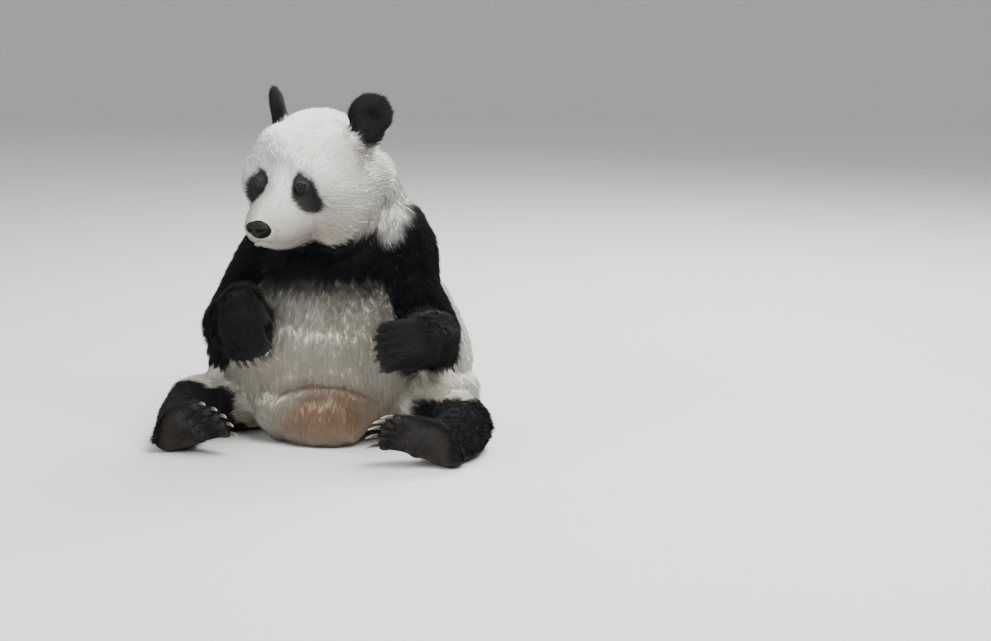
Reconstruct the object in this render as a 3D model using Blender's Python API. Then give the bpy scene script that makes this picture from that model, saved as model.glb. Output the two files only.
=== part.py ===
"""Giant panda sitting upright on its rump, life size, as a still museum model.

The solids show the animal out to the tips of its coat. The flesh is modelled whole, as ellipsoids swept along
splines and fused by a voxel remesh, and is then parted with thin cuts into the parts a keeper would name.
Eyes, nose pad and claws are solids of their own, seated in sockets.

Frame: metres, +Z up, the floor at z = 0, the trunk faces -Y and the animal's left is +X.
"""

import math

import bmesh
import bpy
from mathutils import Matrix, Vector, geometry
from mathutils.bvhtree import BVHTree

# Driving sizes, in metres
GAP = 0.0003  # clearance left by every cut
HIP_HALF_WIDTH = 0.352
CROWN_HEIGHT = 0.830
HEAD_CENTRE = Vector((-0.0195, -0.11, CROWN_HEIGHT - 0.153))
HEAD_TURN = math.radians(-25)  # the head looks to the animal's right of the trunk
HEAD_NOD = math.radians(8.5)  # and a little downwards
EYE_RADIUS = 0.0125
EAR_HALF_WIDTH = 0.062
PAW_WIDTH = 0.130
CLAW_LENGTH = 0.034
CLAW_RADIUS = 0.0060
CLAW_SIDES = 5
CLAW_RINGS = 4

# Mesh densities
BODY_VOXEL = 0.009
FINE_VOXEL = 0.0055
HEAD_TRIANGLES = 860
PAW_TRIANGLES = 430
TRUNK_TRIANGLES = 860
CELL_SIDES = 8
CELL_MARGIN = 0.015
UNTANGLE_ROUNDS = 20
WELD = 0.00001

WHITE_COAT = (0.82, 0.80, 0.74, 1.0)
BLACK_COAT = (0.018, 0.018, 0.022, 1.0)
CREAM_COAT = (0.62, 0.58, 0.48, 1.0)
CLAW_HORN = (0.10, 0.085, 0.07, 1.0)
EYE_DARK = (0.012, 0.008, 0.006, 1.0)
NOSE_LEATHER = (0.012, 0.012, 0.014, 1.0)


def clear_scene():
    for obj in list(bpy.data.objects):
        bpy.data.objects.remove(obj, do_unlink=True)


def material(name, colour, roughness):
    made = bpy.data.materials.new(name)
    made.use_nodes = True
    shader = made.node_tree.nodes["Principled BSDF"]
    shader.inputs["Base Color"].default_value = colour
    shader.inputs["Roughness"].default_value = roughness
    shader.inputs["Metallic"].default_value = 0.0
    made.diffuse_color = colour
    return made


def link(mesh_data, name):
    obj = bpy.data.objects.new(name, mesh_data)
    bpy.context.scene.collection.objects.link(obj)
    return obj


def mesh_object(bm, name):
    data = bpy.data.meshes.new(name)
    bm.to_mesh(data)
    bm.free()
    return link(data, name)


def remove(*objects):
    for obj in objects:
        bpy.data.objects.remove(obj, do_unlink=True)


def baked(obj):
    """The object with its modifiers turned into plain mesh."""
    bpy.context.view_layer.update()
    graph = bpy.context.evaluated_depsgraph_get()
    data = bpy.data.meshes.new_from_object(obj.evaluated_get(graph))
    obj.modifiers.clear()
    obj.data = data
    return obj


# ---------------------------------------------------------------- swept ellipsoids


def spline(values, at):
    """Catmull-Rom through rows of numbers, with at running from 0 to len(values) - 1."""
    last = len(values) - 1
    i = min(int(at), last - 1)
    t = at - i
    rows = [values[min(max(i + k, 0), last)] for k in (-1, 0, 1, 2)]

    def blend(a, b, c, d):
        return 0.5 * (2 * b + (c - a) * t + (2 * a - 5 * b + 4 * c - d) * t**2 + (3 * b - a - 3 * c + d) * t**3)

    return [blend(*column) for column in zip(*rows)]


def wrap(bm, points):
    """The convex hull of points, with what lies inside it taken away."""
    made = bmesh.ops.convex_hull(bm, input=points)
    inner = set(made["geom_interior"] + made["geom_unused"])
    bmesh.ops.delete(bm, geom=[item for item in inner if isinstance(item, bmesh.types.BMVert)], context="VERTS")


def add_ellipsoid_hull(bm, frame, rows, segments, rings):
    """One convex body over the ellipsoids in rows, each (x, y, z, rx, ry, rz) in the frame's axes."""
    points = []
    for x, y, z, rx, ry, rz in rows:
        for ring in range(rings + 1):
            polar = math.pi * ring / rings
            for k in range(1 if ring in (0, rings) else segments):
                turn = 2 * math.pi * k / segments
                across = math.sin(polar)
                offset = Vector((rx * across * math.cos(turn), ry * across * math.sin(turn), 0))
                offset.z = rz * math.cos(polar)
                points.append(bm.verts.new(frame @ (Vector((x, y, z)) + offset)))
    wrap(bm, points)


def sweep(stations, frame=None, steps=4, segments=20, rings=10):
    """Ellipsoids carried along a spline. A station is (centre, radius) or (centre, (rx, ry, rz))."""
    frame = frame or Matrix.Identity(4)
    rows = []
    for centre, radius in stations:
        radii = radius if isinstance(radius, tuple) else (radius,) * 3
        rows.append([*centre, *radii])
    if len(rows) == 1:
        places = [rows[0]]
    else:
        places = [spline(rows, k / steps) for k in range(steps * (len(rows) - 1) + 1)]
    bm = bmesh.new()
    if len(places) == 1:
        add_ellipsoid_hull(bm, frame, places, segments, rings)
    for first, second in zip(places, places[1:]):
        add_ellipsoid_hull(bm, frame, [first, second], segments, rings)
    return mesh_object(bm, "sweep")


def joined(objects, name):
    """One object that holds the meshes of all of these."""
    bm = bmesh.new()
    for obj in objects:
        obj.data.transform(obj.matrix_world)
        bm.from_mesh(obj.data)
    remove(*objects)
    return mesh_object(bm, name)


def fused(objects, voxel, smoothing, name="flesh"):
    """A voxel remesh over overlapping shapes, smoothed so that they run into each other."""
    obj = joined(objects, name)
    remesh = obj.modifiers.new("fuse", "REMESH")
    remesh.mode = "VOXEL"
    remesh.voxel_size = voxel
    if smoothing:
        smooth = obj.modifiers.new("smooth", "SMOOTH")
        smooth.factor = 0.5
        smooth.iterations = smoothing
    return baked(obj)


def boolean(obj, cutter, operation, careful=False):
    modifier = obj.modifiers.new("cut", "BOOLEAN")
    modifier.operation = operation
    modifier.solver = "EXACT"
    modifier.use_self = careful
    modifier.object = cutter
    return baked(obj)


# ---------------------------------------------------------------- the trunk


def trunk_parts():
    """Rump, belly, chest and shoulders as one pear-shaped sweep, with the haunches at its sides."""
    w = HIP_HALF_WIDTH
    spine = [
        ((0.0, 0.050, 0.115), (0.93 * w, 0.285, 0.120)),
        ((0.0, 0.035, 0.200), (0.98 * w, 0.292, 0.120)),
        ((0.0, 0.040, 0.290), (0.87 * w, 0.272, 0.110)),
        ((0.0, 0.065, 0.380), (0.69 * w, 0.252, 0.100)),
        ((0.0, 0.078, 0.460), (0.61 * w, 0.225, 0.090)),
        ((0.0, 0.074, 0.530), (0.55 * w, 0.196, 0.080)),
        ((-0.004, 0.048, 0.600), (0.465 * w, 0.168, 0.075)),
        ((-0.012, -0.010, 0.660), (0.395 * w, 0.140, 0.080)),
    ]
    nape = [
        ((0.0, 0.110, 0.560), (0.130, 0.095, 0.075)),
        ((0.0, 0.085, 0.620), (0.128, 0.100, 0.082)),
        ((-0.006, 0.045, 0.665), (0.122, 0.100, 0.084)),
        ((-0.014, -0.010, 0.698), (0.114, 0.098, 0.085)),
    ]
    belly_fold = [((x, -0.176 + 1.6 * x * x, 0.228), 0.090 - 0.8 * x * x) for x in (-0.10, 0.0, 0.10)]
    groin = [((-0.05, -0.17, 0.085), (0.11, 0.09, 0.088)), ((0.05, -0.17, 0.085), (0.11, 0.09, 0.088))]
    groin_front = [((0.03, -0.215, 0.060), (0.115, 0.060, 0.062))]
    seat_base = [((0.0, 0.06, 0.085), (0.27, 0.20, 0.088)), ((0.0, 0.17, 0.088), (0.22, 0.13, 0.090))]
    parts = [sweep(spine, segments=32, rings=16)]
    parts += [sweep(line) for line in (nape, belly_fold, groin, groin_front, seat_base)]
    for side in (-1, 1):
        haunch = [((side * 0.235, 0.05, 0.10), (0.125, 0.17, 0.112)), (HIP[side], (0.11, 0.13, 0.095))]
        parts.append(sweep(haunch))
    return parts


HIP = {1: (0.275, -0.060, 0.085), -1: (-0.245, -0.060, 0.085)}
TAIL = [
    ((0.0, 0.285, 0.110), (0.062, 0.050, 0.050)),
    ((0.0, 0.322, 0.072), (0.056, 0.046, 0.044)),
    ((0.003, 0.338, 0.036), (0.046, 0.038, 0.038)),
]

# ---------------------------------------------------------------- the limbs

UPPER_ARM = {
    1: [
        ((0.130, 0.045, 0.515), 0.094),
        ((0.192, 0.012, 0.468), 0.078),
        ((0.222, -0.030, 0.385), 0.068),
        ((0.270, -0.072, 0.285), 0.076),
    ],
    -1: [
        ((-0.125, 0.045, 0.503), 0.094),
        ((-0.174, -0.005, 0.442), 0.080),
        ((-0.214, -0.055, 0.350), 0.078),
        ((-0.244, -0.090, 0.270), 0.078),
    ],
}
FOREARM = {
    1: [((0.270, -0.072, 0.280), 0.078), ((0.294, -0.155, 0.265), 0.074), ((0.290, -0.222, 0.272), 0.068)],
    -1: [((-0.244, -0.090, 0.268), 0.078), ((-0.204, -0.178, 0.306), 0.072), ((-0.160, -0.248, 0.348), 0.056)],
}
THIGH = {
    1: [((0.220, -0.040, 0.090), 0.098), ((0.330, -0.110, 0.070), 0.080), ((0.388, -0.185, 0.060), 0.076)],
    -1: [((-0.190, -0.040, 0.095), 0.098), ((-0.262, -0.110, 0.082), 0.084), ((-0.302, -0.190, 0.076), 0.082)],
}
SHANK = {
    1: [((0.388, -0.185, 0.060), 0.076), ((0.400, -0.275, 0.056), 0.068), ((0.386, -0.352, 0.054), 0.060)],
    -1: [((-0.302, -0.190, 0.076), 0.082), ((-0.306, -0.278, 0.062), 0.069), ((-0.288, -0.352, 0.056), 0.060)],
}


def paw_frame(wrist, toward, back):
    """Axes of a paw: +Y runs from wrist to toes, +Z out of its back, +X across it."""
    y = Vector(toward).normalized()
    z = Vector(back)
    z = (z - y * z.dot(y)).normalized()
    x = y.cross(z)
    axes = Matrix((x, y, z)).transposed().to_4x4()
    return Matrix.Translation(Vector(wrist)) @ axes


# curl and splay are in degrees; saw is the radius of the disc that parts a free-standing wrist
FORE_PAWS = {
    1: {
        "frame": paw_frame((0.306, -0.238, 0.272), (-0.84, -0.50, 0.02), (0.34, -0.80, 0.36)),
        "curl": 44,
        "splay": 5,
        "saw": 0.110,
    },
    -1: {
        "frame": paw_frame((-0.160, -0.268, 0.344), (0.24, -0.38, -0.90), (-0.30, -0.92, 0.10)),
        "curl": 24,
        "splay": 4,
        "saw": None,
    },
}
HIND_PAWS = {
    1: {
        "frame": paw_frame((0.386, -0.366, 0.056), (-0.84, -0.36, 0.28), (0.28, 0.86, 0.42)),
        "curl": 8,
        "splay": 7,
        "saw": 0.098,
    },
    -1: {
        "frame": paw_frame((-0.292, -0.366, 0.058), (0.84, -0.34, 0.32), (-0.28, 0.86, 0.42)),
        "curl": 8,
        "splay": 7,
        "saw": 0.098,
    },
}
TOE_COUNT = 5
TOE_RADIUS = 0.0158
TOE_LENGTH = 0.031


def toe_path(number, curl, splay, palm_length):
    """The knuckle, joint and tip of one toe, and the way that its tip points, in the paw's frame."""
    place = (number - (TOE_COUNT - 1) / 2) / ((TOE_COUNT - 1) / 2)
    across = place * (PAW_WIDTH / 2 - TOE_RADIUS)
    knuckle = Vector((across, palm_length - 0.014 * place**2, 0.004 - 0.006 * place**2))
    heading = math.radians(splay) * place
    points = [knuckle]
    for joint in (1, 2):
        bend = math.radians(curl) * (joint - 0.4)
        step = Vector((math.sin(heading) * math.cos(bend), math.cos(heading) * math.cos(bend), -math.sin(bend)))
        points.append(points[-1] + step * TOE_LENGTH)
    return points, step


def paw_parts(frame, curl, splay, palm_length, thickness):
    """The pad of a paw, its heel and its five toes, as overlapping shapes."""
    half = PAW_WIDTH / 2
    palm = [
        ((0, -0.010, 0), (half * 0.80, 0.040, thickness * 0.56)),
        ((0, palm_length * 0.5, 0), (half * 0.98, 0.040, thickness * 0.52)),
        ((0, palm_length, -0.002), (half * 0.96, 0.028, thickness * 0.42)),
    ]
    parts = [sweep(palm, frame)]
    for number in range(TOE_COUNT):
        points, _ = toe_path(number, curl, splay, palm_length)
        radii = (TOE_RADIUS, TOE_RADIUS, TOE_RADIUS * 0.94)
        parts.append(sweep(list(zip(points, radii)), frame, steps=3, segments=12, rings=8))
    return parts


def false_thumb(frame):
    """The wrist bone that a panda grips with, as a pad on the palm."""
    pad = [((-PAW_WIDTH * 0.30, 0.012, -0.026), 0.022), ((-PAW_WIDTH * 0.36, 0.034, -0.040), 0.017)]
    return sweep(pad, frame, segments=12, rings=8)


FORE_PALM, FORE_THICKNESS = 0.070, 0.088
HIND_PALM, HIND_THICKNESS = 0.088, 0.082


# ---------------------------------------------------------------- the head


def head_frame():
    """+X to the head's left, -Y out of its face, +Z up, from the middle of the skull."""
    turned = Matrix.Rotation(HEAD_TURN, 4, "Z") @ Matrix.Rotation(HEAD_NOD, 4, "X")
    return Matrix.Translation(HEAD_CENTRE) @ turned


def face_point(forward, left, up):
    return Vector((left, -forward, up))


def head_parts(frame):
    """The forms of the head. Each radius triple reads across, along and up the face."""
    skull = [(face_point(-0.028, 0, 0.014), (0.140, 0.134, 0.130))]
    crest = [
        (face_point(-0.042, 0, 0.060), (0.100, 0.084, 0.084)),
        (face_point(0.030, 0, 0.046), (0.094, 0.086, 0.080)),
    ]
    bridge = [
        (face_point(0.062, 0, -0.015), (0.066, 0.074, 0.066)),
        (face_point(0.100, 0, -0.062), (0.060, 0.056, 0.048)),
    ]
    muzzle = [
        (face_point(0.074, 0, -0.078), (0.122, 0.078, 0.080)),
        (face_point(0.131, 0, -0.099), (0.102, 0.062, 0.061)),
        (face_point(0.167, 0, -0.111), (0.083, 0.050, 0.049)),
    ]
    jaw = [
        (face_point(0.030, 0, -0.124), (0.092, 0.086, 0.060)),
        (face_point(0.136, 0, -0.138), (0.056, 0.050, 0.034)),
    ]
    parts = [sweep(skull, frame, segments=32, rings=16)]
    parts += [sweep(line, frame) for line in (crest, bridge, muzzle, jaw)]
    for side in (-1, 1):
        cheek = [
            (face_point(-0.022, side * 0.074, -0.074), (0.096, 0.092, 0.122)),
            (face_point(0.034, side * 0.088, -0.080), (0.084, 0.080, 0.110)),
        ]
        cheekbone = [(face_point(0.036, side * 0.103, -0.024), (0.079, 0.086, 0.092))]
        temple = [(face_point(0.018, side * 0.070, 0.044), (0.078, 0.076, 0.070))]
        brow = [(face_point(0.056, side * 0.056, 0.016), (0.060, 0.062, 0.056))]
        parts += [sweep(line, frame) for line in (cheek, cheekbone, temple, brow)]
    return parts


EYE_PLACE = (0.1120, 0.0700, -0.010)
EYE_HOLLOW = (0.1490, 0.0780, -0.016)
EYE_HOLLOW_RADII = (0.030, 0.031, 0.034)
NOSE_PLACE = (0.210, -0.098)
EAR_PLACE = (-0.060, 0.157, 0.131)
EAR_SPLAY = math.radians(38)
EAR_TILT = math.radians(14)


def ear_frame(side):
    """+Z up the ear from its root, -Y out of its open face, leaning outwards."""
    place = face_point(EAR_PLACE[0], side * EAR_PLACE[1], EAR_PLACE[2])
    turn = Matrix.Rotation(side * EAR_SPLAY, 4, "Z") @ Matrix.Rotation(side * EAR_TILT, 4, "Y")
    return head_frame() @ Matrix.Translation(place) @ turn


def ear_parts(side):
    """A round ear: a thick disc with a hollow open face, on a short root."""
    frame = ear_frame(side)
    disc = sweep([((0, 0, 0), (EAR_HALF_WIDTH, 0.021, EAR_HALF_WIDTH))], frame, segments=28, rings=14)
    dish = EAR_HALF_WIDTH * 0.74
    hollow = sweep([((0, -0.038, -0.004), (dish, 0.032, dish))], frame, segments=28, rings=14)
    boolean(disc, hollow, "DIFFERENCE")
    remove(hollow)
    stem = [
        ((0, 0.006, -0.036), (0.044, 0.024, 0.030)),
        ((-side * 0.022, 0.010, -0.078), (0.046, 0.034, 0.034)),
    ]
    return [disc, sweep(stem, frame)]


# ---------------------------------------------------------------- hard parts


def horn(points, radii, sides, name):
    """A tapering solid along points, as wide as radii, pointed at its end."""
    bm = bmesh.new()
    rings = []
    across = (points[1] - points[0]).orthogonal()
    turns = [2 * math.pi * k / sides for k in range(sides)]
    for i, (point, radius) in enumerate(zip(points, radii)):
        along = (points[min(i + 1, len(points) - 1)] - points[max(i - 1, 0)]).normalized()
        across = (across - along * across.dot(along)).normalized()
        other = along.cross(across)
        ring = [point + radius * (across * math.cos(turn) + other * math.sin(turn)) for turn in turns]
        rings.append([bm.verts.new(corner) for corner in ring])
    for low, high in zip(rings, rings[1:]):
        for k in range(sides):
            bm.faces.new((low[k], low[(k + 1) % sides], high[(k + 1) % sides], high[k]))
    bm.faces.new(rings[0][::-1])
    bm.faces.new(rings[-1])
    bmesh.ops.recalc_face_normals(bm, faces=bm.faces)
    return mesh_object(bm, name)


def nose_pad(frame, name):
    """The leather of the nose: broad above, narrow below."""
    forward, up = NOSE_PLACE
    rows = [[*face_point(forward, side * 0.0185, up), 0.0180, 0.018, 0.0140] for side in (-1, 1)]
    rows.append([*face_point(forward + 0.003, 0, up - 0.014), 0.014, 0.014, 0.0105])
    bm = bmesh.new()
    add_ellipsoid_hull(bm, frame, rows, 12, 6)
    return mesh_object(bm, name)


def claw(frame, curl, splay, palm_length, number, name):
    """One curved claw, from inside the toe out to its point."""
    points, heading = toe_path(number, curl, splay, palm_length)
    down = Vector((0, 0, -1)) - heading * Vector((0, 0, -1)).dot(heading)
    down = down.normalized() if down.length > 0.2 else Vector((0, -1, 0))
    root = points[-1] + heading * (TOE_RADIUS * 0.35) - down * 0.003
    line, radii = [], []
    for k in range(CLAW_RINGS):
        t = k / (CLAW_RINGS - 1)
        line.append(frame @ (root + heading * (CLAW_LENGTH * t) + down * (0.32 * CLAW_LENGTH * t * t)))
        radii.append(CLAW_RADIUS * (1 - 0.88 * t**1.5))
    return horn(line, radii, CLAW_SIDES, name)


def grown(obj, extra):
    """A copy of a small solid whose surface lies further out by extra all round."""
    copy = link(obj.data.copy(), "grown")
    bm = bmesh.new()
    bm.from_mesh(copy.data)
    bm.normal_update()
    for vertex in bm.verts:
        vertex.co += vertex.normal * (extra * vertex.calc_shell_factor())
    bm.to_mesh(copy.data)
    bm.free()
    return copy


def seat(body, hard, extra=GAP):
    """Cuts a socket for a hard part out of the flesh, with a thin gap round it."""
    cutter = grown(hard, extra)
    boolean(body, cutter, "DIFFERENCE", careful=True)
    remove(cutter)


def solid_ellipsoid(frame, centre, radii, segments, rings, name):
    obj = sweep([(centre, radii)], frame, segments=segments, rings=rings)
    obj.name = name
    return obj


# ---------------------------------------------------------------- parting the flesh


def ring_hull(rings, extra):
    """A convex cell over octagons, each (centre, axis along, axis across, half width, half depth)."""
    bm = bmesh.new()
    points = []
    for i, (centre, along, across, width, depth) in enumerate(rings):
        out = {0: -extra, len(rings) - 1: extra}.get(i, 0.0)
        other = along.cross(across)
        for k in range(CELL_SIDES):
            turn = 2 * math.pi * (k + 0.5) / CELL_SIDES
            round_up = 1 / math.cos(math.pi / CELL_SIDES)
            offset = across * (math.cos(turn) * (width + extra)) + other * (math.sin(turn) * (depth + extra))
            points.append(bm.verts.new(centre + along * out + offset * round_up))
    wrap(bm, points)
    return mesh_object(bm, "cell")


def part_off(body, rings, name):
    """Cuts out the flesh inside a cell, and leaves the rest in body with a thin gap between."""
    piece = link(body.data.copy(), name)
    inner, outer = ring_hull(rings, 0.0), ring_hull(rings, GAP)
    boolean(piece, inner, "INTERSECT")
    boolean(body, outer, "DIFFERENCE")
    remove(inner, outer)
    return piece


def rings_along(stations, start=None, rounded=False):
    """Octagons round a length of limb. The first lies across start, and a rounded end wraps a joint."""
    centres = [Vector(centre) for centre, _ in stations]
    last = len(centres) - 1
    rings = []
    for i, (_, radius) in enumerate(stations):
        along = (centres[min(i + 1, last)] - centres[max(i - 1, 0)]).normalized()
        if i == 0 and start is not None:
            along = start
        wide = radius + CELL_MARGIN
        rings.append((centres[i], along, along.orthogonal().normalized(), wide, wide))
    centre, along, across, wide, _ = rings[-1]
    if rounded:
        rings.append((centre + along * (0.60 * wide), along, across, 0.98 * wide, 0.98 * wide))
        rings.append((centre + along * (1.05 * wide), along, across, 0.70 * wide, 0.70 * wide))
    else:
        rings.append((centre + along * (0.85 * wide), along, across, wide, wide))
    return rings


def slab_above(body, point, normal, name):
    """Parts off the flesh on the normal's side of a plane, with a thin gap between."""
    normal = Vector(normal).normalized()
    reach = 2.0

    def block(shift):
        bm = bmesh.new()
        turn = normal.to_track_quat("Z", "Y").to_matrix().to_4x4()
        middle = Vector(point) + normal * (shift + reach / 2)
        bmesh.ops.create_cube(bm, size=reach, matrix=Matrix.Translation(middle) @ turn)
        return mesh_object(bm, "block")

    piece = link(body.data.copy(), name)
    upper, lower = block(GAP), block(0.0)
    boolean(piece, upper, "INTERSECT")
    boolean(body, lower, "DIFFERENCE")
    remove(upper, lower)
    return piece


def islands(bm):
    """The connected groups of faces in a mesh."""
    unseen = set(bm.faces)
    found = []
    while unseen:
        todo = [unseen.pop()]
        island = set(todo)
        while todo:
            for edge in todo.pop().edges:
                for face in edge.link_faces:
                    if face in unseen:
                        unseen.discard(face)
                        island.add(face)
                        todo.append(face)
        found.append(island)
    return found


def kept_island(obj, chosen):
    """Drops every connected group of faces but the one that chosen picks."""
    bm = bmesh.new()
    bm.from_mesh(obj.data)
    found = islands(bm)
    keep = chosen(found)
    for island in found:
        if island is not keep:
            bmesh.ops.delete(bm, geom=list(island), context="FACES")
    bm.to_mesh(obj.data)
    bm.free()


def largest_island(obj):
    kept_island(obj, lambda found: max(found, key=lambda island: sum(face.calc_area() for face in island)))


def cut_free(body, centre, along, across, width, tip, name):
    """Saws through a free-standing length with a thin disc, and takes off the side that holds the tip."""
    disc = ring_hull([(centre + along * step, along, across, width, width) for step in (0, GAP)], 0.0)
    boolean(body, disc, "DIFFERENCE")
    remove(disc)
    piece = link(body.data.copy(), name)

    def nearest(found):
        return min(found, key=lambda island: min((face.calc_center_median() - tip).length for face in island))

    kept_island(piece, nearest)
    bm = bmesh.new()
    bm.from_mesh(body.data)
    bmesh.ops.delete(bm, geom=list(nearest(islands(bm))), context="FACES")
    bm.to_mesh(body.data)
    bm.free()
    return piece


# ---------------------------------------------------------------- the whole animal


def whole_flesh():
    """All flesh as one closed body, before its flats are cut."""
    head_at = head_frame()
    coarse = trunk_parts()
    coarse.append(sweep(TAIL))
    for side in (-1, 1):
        coarse += [sweep(line[side]) for line in (UPPER_ARM, FOREARM, THIGH, SHANK)]
    throat = [((0.0, 0.02, 0.60), (0.155, 0.150, 0.09)), (head_at @ face_point(-0.035, 0, -0.040), 0.128)]
    coarse.append(sweep(throat))
    for side in (-1, 1):
        behind_cheek = head_at @ face_point(-0.085, side * 0.092, -0.028)
        coarse.append(sweep([((side * 0.088, 0.050, 0.600), 0.074), (behind_cheek, 0.078)]))
    body = fused(coarse, BODY_VOXEL, 14)

    head = fused(head_parts(head_at), FINE_VOXEL, 18)
    for side in (-1, 1):
        place = face_point(EYE_HOLLOW[0], side * EYE_HOLLOW[1], EYE_HOLLOW[2])
        hollow = solid_ellipsoid(head_at, place, EYE_HOLLOW_RADII, 20, 12, "hollow")
        boolean(head, hollow, "DIFFERENCE")
        remove(hollow)
    detail = [body, head]
    for side in (-1, 1):
        detail += ear_parts(side)
        fore, hind = FORE_PAWS[side], HIND_PAWS[side]
        detail += paw_parts(fore["frame"], fore["curl"], fore["splay"], FORE_PALM, FORE_THICKNESS)
        detail.append(false_thumb(fore["frame"]))
        detail += paw_parts(hind["frame"], hind["curl"], hind["splay"], HIND_PALM, HIND_THICKNESS)
        detail.append(sweep([(SHANK[side][-1][0], 0.058), (hind["frame"] @ Vector((0, 0.01, 0)), 0.050)]))
        detail.append(sweep([(FOREARM[side][-1][0], 0.060), (fore["frame"] @ Vector((0, 0.02, 0)), 0.048)]))
        detail.append(sweep([(hind["frame"] @ Vector((0, -0.022, -0.022)), 0.040)]))
    return fused(detail, FINE_VOXEL, 4)


def thinned_where(obj, chosen, triangles):
    """Leaves about this many triangles where all corners are chosen, and the others as they are."""
    group = obj.vertex_groups.new(name="chosen")
    group.add([index for index, flag in enumerate(chosen) if flag], 1.0, "REPLACE")
    obj.data.calc_loop_triangles()
    inside = sum(all(chosen[v] for v in triangle.vertices) for triangle in obj.data.loop_triangles)
    total = len(obj.data.loop_triangles)
    decimate = obj.modifiers.new("thin", "DECIMATE")
    decimate.vertex_group = "chosen"
    decimate.vertex_group_factor = 0.00001
    decimate.ratio = (total - inside + triangles) / total
    baked(obj)
    obj.vertex_groups.clear()


def thinned(flesh):
    """Fewer triangles, with most of them kept where the face, ears and paws need them."""
    regions = [((HEAD_CENTRE + Vector((-0.03, -0.07, 0.01)), 0.225),)]
    for paws, middle, radius in ((FORE_PAWS, (0, 0.075, -0.02), 0.085), (HIND_PAWS, (0, 0.085, 0), 0.095)):
        regions.append(tuple((paws[side]["frame"] @ Vector(middle), radius) for side in (-1, 1)))

    def inside(point, balls):
        return any((point - centre).length < radius for centre, radius in balls)

    for balls, triangles in zip(regions, (HEAD_TRIANGLES, PAW_TRIANGLES, PAW_TRIANGLES)):
        thinned_where(flesh, [inside(vertex.co, balls) for vertex in flesh.data.vertices], triangles)
    detail = [ball for balls in regions for ball in balls]
    thinned_where(flesh, [not inside(vertex.co, detail) for vertex in flesh.data.vertices], TRUNK_TRIANGLES)
    return flesh


def crosses(first, second):
    """Whether an edge of the first triangle, clear of any shared corner, runs through the second."""
    a, b, c = (vertex.co for vertex in second.verts)
    for edge in first.edges:
        if set(edge.verts) & set(second.verts):
            continue
        start, end = (vertex.co for vertex in edge.verts)
        hit = geometry.intersect_ray_tri(a, b, c, end - start, start, True)
        if hit and (hit - start).dot(end - start) > 0 and (hit - start).length < (end - start).length:
            return True
    return False


def untangled(obj):
    """Smooths the few spots where thinning has folded the surface through itself."""
    bm = bmesh.new()
    bm.from_mesh(obj.data)
    bmesh.ops.triangulate(bm, faces=bm.faces)
    for _ in range(UNTANGLE_ROUNDS):
        bm.faces.ensure_lookup_table()
        tree = BVHTree.FromBMesh(bm)
        tangled = set()
        for i, k in tree.overlap(tree):
            if i < k and (crosses(bm.faces[i], bm.faces[k]) or crosses(bm.faces[k], bm.faces[i])):
                tangled.update(bm.faces[i].verts)
                tangled.update(bm.faces[k].verts)
        if not tangled:
            break
        axes = {f"use_axis_{axis}": True for axis in "xyz"}
        bmesh.ops.smooth_vert(bm, verts=list(tangled), factor=0.5, **axes)
    bm.to_mesh(obj.data)
    bm.free()
    return obj


def without_fins(obj):
    """Removes the flat double-sided slivers that a Boolean can leave standing on a cut."""
    bm = bmesh.new()
    bm.from_mesh(obj.data)
    bmesh.ops.triangulate(bm, faces=bm.faces)
    bmesh.ops.remove_doubles(bm, verts=bm.verts, dist=WELD)
    bmesh.ops.dissolve_degenerate(bm, edges=bm.edges, dist=WELD)
    while True:
        by_corners = {}
        for face in bm.faces:
            by_corners.setdefault(frozenset(face.verts), []).append(face)
        fins = [face for faces in by_corners.values() if len(faces) > 1 for face in faces]
        if not fins:
            break
        bmesh.ops.delete(bm, geom=fins, context="FACES")
    loose = [vertex for vertex in bm.verts if not vertex.link_faces]
    bmesh.ops.delete(bm, geom=loose, context="VERTS")
    bm.to_mesh(obj.data)
    bm.free()


def bend_axes(before, joint, after):
    """The way that a limb points halfway through a joint, and the way towards the inside of its bend."""
    before, joint, after = Vector(before), Vector(joint), Vector(after)
    come, go = (joint - before).normalized(), (after - joint).normalized()
    return (come + go).normalized(), go - come


def part_limb(flesh, upper, lower, paw, saw, names):
    """Parts off a paw, then the length above it, then the length that meets the trunk."""
    wrist, tip = paw @ Vector((0, 0.004, 0)), paw @ Vector((0, 0.10, 0))
    wide = lower[-1][1]
    along, inward = bend_axes(lower[1][0], wrist, tip)
    if saw:
        centre = wrist + inward * (0.45 * wide)
        end = cut_free(flesh, centre, along, along.orthogonal().normalized(), saw, tip, names[2])
    else:
        across, ahead = (paw.to_3x3() @ Vector(axis) for axis in ((1, 0, 0), (0, 1, 0)))
        rings = [(wrist, along, (across - along * across.dot(along)).normalized(), 0.074, 0.090)]
        for reach in (0.06, 0.17):
            rings.append((paw @ Vector((0, reach, 0.002)), ahead, across, 0.086, 0.064))
        end = part_off(flesh, rings, names[2])
    along, _ = bend_axes(upper[-2][0], lower[0][0], lower[1][0])
    length = part_off(flesh, rings_along(lower, start=along), names[1])
    root = part_off(flesh, rings_along(upper, rounded=True), names[0])
    return {names[0]: root, names[1]: length, names[2]: end}


def centre_on_floor():
    """Brings the middle of the whole animal's base to the origin."""
    meshes = [obj for obj in bpy.data.objects if obj.type == "MESH"]
    corners = [vertex.co for obj in meshes for vertex in obj.data.vertices]
    low = [min(corner[axis] for corner in corners) for axis in range(3)]
    high = [max(corner[axis] for corner in corners) for axis in range(3)]
    shift = Vector((-(low[0] + high[0]) / 2, -(low[1] + high[1]) / 2, -low[2]))
    for obj in meshes:
        obj.data.transform(Matrix.Translation(shift))


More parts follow.
